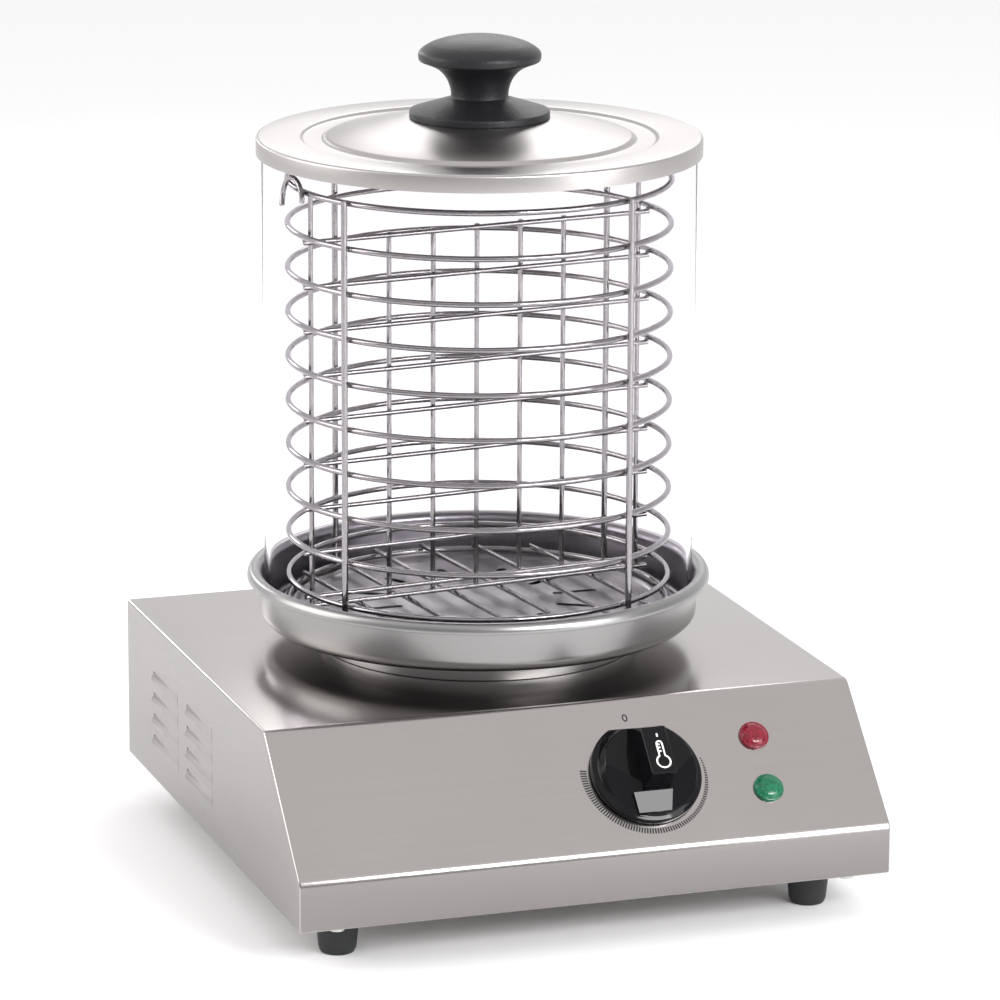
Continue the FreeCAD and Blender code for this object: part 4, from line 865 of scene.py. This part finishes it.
basket = {
    "ringRadius": 88.4, "ringWire": 1.4, "ringSides": 12, "ringSteps": 128,
    "topRing": 316.806, "pitch": 20.75, "levels": 10, "bottomRing": 117.823,
    "uprightWire": 1.5, "uprightRadius": 91.25, "uprightAngles": (30, 120, 210, 300), "uprightTop": 318.2,
    "uprightPast": 0.6, "uprightBead": (1.3, 1.3, 1.0),
    "dividerWire": 1.2, "dividerAngle": 7.5, "dividerPitch": 22.4, "dividerWires": 7, "postReach": 84.0,
    "chordGap": 0.2, "chordBead": (1.3, 1.3, 0.8), "beadInset": 0.4, "postBead": (1.0, 0.9, 1.0),
    "footGap": 0.02,
    "baseWire": 1.2, "basePitch": 24.0, "baseWires": 6, "baseLevel": 120.66,
    "hookWire": 1.2, "hookRadius": 8.6, "hookAngle": 184.6, "hookBelow": 2.6, "hookOut": 3.4,
    "hookStart": 190.0, "hookTurn": 225.0, "hookSteps": 32,
}


def finishWire(bm, name, node):
    finishPiece(bm, name, "basket_chrome", "basket", node, smooth=wireSmooth)


def ringLevels():
    levels = [basket["topRing"] - basket["pitch"] * index for index in range(basket["levels"])]
    return levels + [basket["bottomRing"]]


def buildRings():
    for index, level in enumerate(ringLevels(), start=1):
        bm = bmesh.new()
        made = bmesh.ops.create_circle(bm, segments=basket["ringSides"], radius=basket["ringWire"] * mm,
                                       cap_ends=False)
        bmesh.ops.rotate(bm, verts=made["verts"], cent=(0, 0, 0), matrix=Matrix.Rotation(math.pi / 2, 3, "X"))
        bmesh.ops.translate(bm, verts=made["verts"], vec=(basket["ringRadius"] * mm, 0, 0))
        spin(bm, basket["ringSteps"])
        bmesh.ops.translate(bm, verts=bm.verts, vec=(0, axisY, level * mm))
        finishWire(bm, "basketRing%02d" % index, "basket_ring_%02d" % index)


def buildUprights():
    radius = basket["uprightRadius"]
    angles = basket["uprightAngles"]
    bm = wireMesh([([aroundAxis(radius, angle, basket["bottomRing"] - basket["uprightPast"]),
                     aroundAxis(radius, angle, basket["uprightTop"])], False) for angle in angles],
                  basket["uprightWire"])
    for angle in angles:
        for level in ringLevels():
            blob(bm, aroundAxis((radius + basket["ringRadius"]) / 2, angle, level), basket["uprightBead"])
    finishWire(bm, "basketUprights", "basket_uprights")


def dividerPoint(along, across, level):
    turn = math.radians(basket["dividerAngle"])
    return Vector((along * math.cos(turn) - across * math.sin(turn),
                   along * math.sin(turn) + across * math.cos(turn), level)) * mm + Vector((0, axisY, 0))


def buildBase():
    level = basket["baseLevel"]
    runs = []
    for index in range(basket["baseWires"]):
        offset = basket["basePitch"] * (index - (basket["baseWires"] - 1) / 2)
        half = math.sqrt(basket["ringRadius"] ** 2 - offset ** 2)
        runs.append(([dividerPoint(offset, -half, level), dividerPoint(offset, half, level)], False))
    finishWire(wireMesh(runs, basket["baseWire"]), "basketBase", "basket_base")


def buildDivider():
    wire = basket["dividerWire"]
    reach = basket["ringRadius"]
    chords = [level - basket["ringWire"] - wire - basket["chordGap"] for level in ringLevels()[1:-1]]
    lowest = basket["baseLevel"] + basket["baseWire"] + wire + basket["footGap"]
    runs = [([dividerPoint(-reach, 0, level), dividerPoint(reach, 0, level)], False)
            for level in chords + [lowest]]
    count = basket["dividerWires"]
    uprights = [(basket["dividerPitch"] * (index - (count - 1) / 2), chords[0] + wire)
                for index in range(count)]
    uprights += [(basket["postReach"] * sign, chords[0] + wire + basket["pitch"]) for sign in (-1, 1)]
    for along, top in uprights:
        runs.append(([dividerPoint(along, wire * 2, lowest - wire),
                      dividerPoint(along, wire * 2, top)], False))
    bm = wireMesh(runs, wire)
    for level in chords:
        for sign in (-1, 1):
            blob(bm, dividerPoint((reach - basket["beadInset"]) * sign, 0, level + wire), basket["chordBead"])
            blob(bm, dividerPoint(basket["postReach"] * sign, wire, level), basket["postBead"])
    finishWire(bm, "basketDivider", "basket_divider")


def buildHooks():
    startRadius = basket["ringRadius"] + basket["ringWire"] + basket["hookWire"]
    runs = []
    for side in (0, 180):
        points = []
        for step in range(basket["hookSteps"] + 1):
            share = step / basket["hookSteps"]
            turn = math.radians(basket["hookStart"] - basket["hookTurn"] * share)
            sweep = math.degrees(basket["hookRadius"] * math.cos(turn) / startRadius)
            level = basket["topRing"] + basket["hookRadius"] * math.sin(turn) - basket["hookBelow"]
            points.append(aroundAxis(startRadius + basket["hookOut"] * share ** 2,
                                     basket["hookAngle"] + side - sweep, level))
        runs.append((points, False))
    finishWire(wireMesh(runs, basket["hookWire"]), "basketHooks", "basket_hooks")


buildRings()
buildUprights()
buildBase()
buildDivider()
buildHooks()
print("basket welded")


# the slope carries the knob, the scale and the lamps: a frame on it with Y up the slope and Z off the panel

panel = {"knobX": 30.3, "knobDown": 39.3, "angle": 45.0, "lampX": 86.2, "lampDowns": (25.2, 52.2)}


def onSlope(x, down, lift=0.0):
    turn = math.radians(panel["angle"])
    y = housing["slopeTop"] - down * math.cos(turn) - lift * math.sin(turn)
    z = housing["top"] - down * math.sin(turn) + lift * math.cos(turn)
    return Matrix.Translation(Vector((x, y, z)) * mm) @ Matrix.Rotation(turn, 4, "X")


def onKnob(lift):
    return onSlope(panel["knobX"], panel["knobDown"], lift)


knob = {
    "lift": 0.8, "radius": 25.6, "skirt": 3.2, "foot": 23.0, "top": 20.8, "crown": 9.7, "height": 23.2,
    "recess": 21.0, "recessDepth": 2.0, "bore": 3.1, "boreDepth": 9.1, "steps": 96, "smooth": 21.0,
    "grip": 5.8, "gripFoot": 6.8, "front": 12.2, "frontFoot": 12.6, "gripEdge": 0.5, "gripSteps": 3,
    "gripSunk": 1.0,
    "rearTop": 11.1, "rearFoot": 23.5,
    "ridgeNear": (6.8, -8.6), "ridgeFar": (18.9, 0.8), "ridgeFall": 0.5,
    "tongueX": -2.0, "tongueNear": 13.4, "tongueTop": 9.2, "tongueEnd": 7.7, "tongueReach": 22.0,
    "tongueFall": 0.4286, "reliefInset": 0.8, "reliefRise": 12.0,
    # how far the cutting solids reach past the knob
    "cutReach": 40.0, "cutRise": 30.0, "cutSide": 60.0, "cutRear": 70.0, "cutBelow": -2.0, "cutAbove": 40.0,
}


def solidFromRing(low, high):
    # a closed solid between two rings of the same number of points, in millimetres
    bm = bmesh.new()
    bottom = [bm.verts.new(Vector(point) * mm) for point in low]
    top = [bm.verts.new(Vector(point) * mm) for point in high]
    bm.faces.new(bottom)
    bm.faces.new(top)
    for index in range(len(low)):
        after = (index + 1) % len(low)
        bm.faces.new((bottom[index], bottom[after], top[after], top[index]))
    bmesh.ops.recalc_face_normals(bm, faces=bm.faces)
    return bm


def buildCrown():
    shape = knob
    return spunProfile({
        "boreFoot": (shape["bore"], shape["recessDepth"]),
        "recessTop": (shape["recess"], shape["recessDepth"], 0.5),
        "recessFoot": (shape["recess"], 0, 0.3),
        "skirtFoot": (shape["radius"], 0, 0.3),
        "skirtTop": (shape["radius"], shape["skirt"] - 0.5, 0.6),
        "ledge": (shape["foot"] + 0.5, shape["skirt"] + 0.1, 0.5),
        "crownFoot": (shape["foot"] - 0.3, shape["skirt"] + 0.6, 0.5),
        "crownTop": (shape["top"], shape["crown"], 0.7),
        "middle": (0, shape["crown"]),
        "boreMiddle": (0, shape["boreDepth"]),
        "boreTop": (shape["bore"], shape["boreDepth"])}, shape["steps"])


def crownScoop(sign):
    # everything above a plane that falls away outside the ridge line
    near = Vector(knob["ridgeNear"])
    far = Vector(knob["ridgeFar"])
    along = (far - near).normalized()
    out = Vector((along.y, -along.x))
    reach = knob["cutReach"]
    level = knob["crown"]
    ends = [near - along * reach, far + along * reach]
    plan = [(spot, level) for spot in ends]
    plan += [(spot + out * reach, level - reach * knob["ridgeFall"]) for spot in reversed(ends)]
    return meshOf(solidFromRing([(spot.x * sign, spot.y, fallen) for spot, fallen in plan],
                                [(spot.x * sign, spot.y, level + knob["cutRise"]) for spot, fallen in plan]),
                  "crownScoop")


def tonguePlan(near, far, nearHalf, farHalf, rise=0.0):
    # four points on the slanted plane in front of the grip, with the first two nearer to it
    shape = knob
    return [(shape["tongueX"] + side * half, -reach, shape["crown"] - shape["tongueFall"] * (
        reach - shape["front"]) + rise) for side, half, reach in (
            (-1, nearHalf, near), (1, nearHalf, near), (1, farHalf, far), (-1, farHalf, far))]


def crownTongue():
    shape = knob
    plan = tonguePlan(shape["tongueNear"], shape["tongueReach"], shape["tongueTop"], shape["tongueEnd"])
    return meshOf(solidFromRing([(x, y, shape["skirt"]) for x, y, z in plan], plan), "crownTongue")


def tongueRelief():
    # what stands above the tongue's plane comes off, out past the crown
    shape = knob
    ends = (shape["tongueNear"], shape["radius"], shape["tongueTop"],
            shape["tongueEnd"] - shape["reliefInset"])
    return meshOf(solidFromRing(tonguePlan(*ends), tonguePlan(*ends, rise=shape["reliefRise"])),
                  "tongueRelief")


def gripBar():
    shape = knob
    sunk = shape["skirt"] + shape["gripSunk"]
    rings = [[(-half, -front, level), (half, -front, level), (half, shape["rearFoot"], level),
              (-half, shape["rearFoot"], level)] for half, front, level in (
                  (shape["gripFoot"], shape["frontFoot"], sunk),
                  (shape["grip"], shape["front"], shape["height"]))]
    bm = solidFromRing(*rings)
    crest = [edge for edge in bm.edges if max(vert.co.z for vert in edge.verts) > shape["height"] / 2 * mm]
    bevel(bm, crest, shape["gripEdge"], shape["gripSteps"])
    return meshOf(bm, "gripBar")


def rearWedge():
    # one slanted plane ends the skirt, the crown and the grip
    shape = knob
    lean = (shape["rearFoot"] - shape["rearTop"]) / shape["height"]
    below, above, rear, side = (shape[key] for key in ("cutBelow", "cutAbove", "cutRear", "cutSide"))
    section = [(shape["rearFoot"] - lean * below, below), (rear, below), (rear, above),
               (shape["rearFoot"] - lean * above, above)]
    return meshOf(solidFromRing([(-side, y, z) for y, z in section], [(side, y, z) for y, z in section]),
                  "rearWedge")


def buildControlKnob():
    piece = finishPiece(buildCrown(), "controlKnob", "gloss_black_plastic", "knob", "control_knob")
    for sign in (-1, 1):
        carve(piece, crownScoop(sign))
    carve(piece, crownTongue(), "UNION")
    carve(piece, tongueRelief())
    carve(piece, gripBar(), "UNION")
    carve(piece, rearWedge())
    bm = bmesh.new()
    bm.from_mesh(piece.data)
    for edge in bm.edges:
        edge.smooth = len(edge.link_faces) == 2 and edge.calc_face_angle(0) < math.radians(knob["smooth"])
    bmesh.ops.transform(bm, matrix=onKnob(knob["lift"]), verts=bm.verts)
    bm.to_mesh(piece.data)
    bm.free()


buildControlKnob()


# printed marks: thin flattened strips that lie on a plane

symbol = {
    "x": 0.9, "bulbY": -6.5, "bulb": 3.1, "bulbSteps": 24, "stem": 1.3, "stemTop": 2.4, "capSteps": 8,
    "width": 0.8, "tickY": (5.9, 7.6), "marks": (-1.3, 0.5, 2.1), "markPast": 0.1, "lift": 0.02,
}

scale = {
    "middle": 28.6, "ticks": 80, "from": 171.0, "to": 371.0, "width": 0.72, "lift": 0.03,
    "lengthShares": (0.0, 0.45, 0.85, 1.0), "lengths": (3.0, 2.6, 1.7, 0.6),
    "zeroPlace": (-2.3, 29.3), "zero": (1.0, 1.6), "zeroWidth": 0.62, "zeroSteps": 20,
}


printed = {"thickness": 0.06, "sides": 8}


def printedRun(runs, width, matrix):
    bm = wireMesh([([Vector((x, y, 0)) * mm for x, y in points], closed) for points, closed in runs],
                  width / 2, printed["sides"])
    bmesh.ops.scale(bm, verts=bm.verts, vec=(1, 1, printed["thickness"] / width))
    bmesh.ops.transform(bm, matrix=matrix, verts=bm.verts)
    return bm


def arc(centre, radii, start, turn, steps):
    angles = [start + turn * step / steps for step in range(steps + 1)]
    return [(centre[0] + radii[0] * math.cos(angle), centre[1] + radii[1] * math.sin(angle))
            for angle in angles]


def buildSymbol():
    # a thermometer: the bulb up to the stem's sides, then the stem's round top
    x, bulb, stem = symbol["x"], symbol["bulb"], symbol["stem"]
    gap = math.asin(stem / bulb)
    outline = arc((x, symbol["bulbY"]), (bulb, bulb), math.pi / 2 + gap, math.tau - 2 * gap,
                  symbol["bulbSteps"])
    outline += arc((x, symbol["stemTop"]), (stem, stem), 0, math.pi, symbol["capSteps"])
    runs = [(outline, True), ([(x, level) for level in symbol["tickY"]], False)]
    runs += [([(x - stem, level), (x + symbol["markPast"], level)], False) for level in symbol["marks"]]
    bm = printedRun(runs, symbol["width"], onKnob(knob["lift"] + knob["height"] + symbol["lift"]))
    finishPiece(bm, "knobSymbol", "white_print", "knob", smooth=wireSmooth)


def tickLength(share):
    # between the stops that lie round the dial
    stops = list(zip(scale["lengthShares"], scale["lengths"]))
    for (near, first), (far, second) in zip(stops, stops[1:]):
        if share <= far:
            return first + (second - first) * (share - near) / (far - near)
    return scale["lengths"][-1]


def buildScale():
    runs = []
    for index in range(scale["ticks"] + 1):
        share = index / scale["ticks"]
        angle = math.radians(scale["from"] + (scale["to"] - scale["from"]) * share)
        near = scale["middle"] - tickLength(share) / 2
        far = near + tickLength(share)
        runs.append(([(radius * math.cos(angle), radius * math.sin(angle)) for radius in (near, far)], False))
    bm = printedRun(runs, scale["width"], onKnob(scale["lift"]))
    finishPiece(bm, "dialPrint", "black_print", "base", smooth=wireSmooth)
    zero = arc(scale["zeroPlace"], scale["zero"], 0, math.tau, scale["zeroSteps"])[:-1]
    bm = printedRun([(zero, True)], scale["zeroWidth"], onKnob(scale["lift"]))
    finishPiece(bm, "zeroPrint", "black_print", "base", smooth=wireSmooth)


buildSymbol()
buildScale()


# pilot lamps

lamp = {
    "profile": {
        "back": (0, 0.02), "backEdge": (6.9, 0.02), "rim": (6.9, 1.3, 0.5), "rimTop": (6.1, 1.5, 0.2),
        "domeFoot": (5.9, 1.5, 0.2), "crown": (4.9, 2.5, 1.0), "domeTop": (2.4, 3.2, 1.2),
        "top": (0, 3.25)},
    "steps": 64,
}


def buildLamps():
    for colour, down in zip(("red", "green"), panel["lampDowns"]):
        bm = spunProfile(lamp["profile"], lamp["steps"])
        bmesh.ops.transform(bm, matrix=onSlope(panel["lampX"], down), verts=bm.verts)
        finishPiece(bm, colour + "PilotLens", colour + "_lens", "base", colour + "_pilot_lens")


buildLamps()
print("controls fitted")
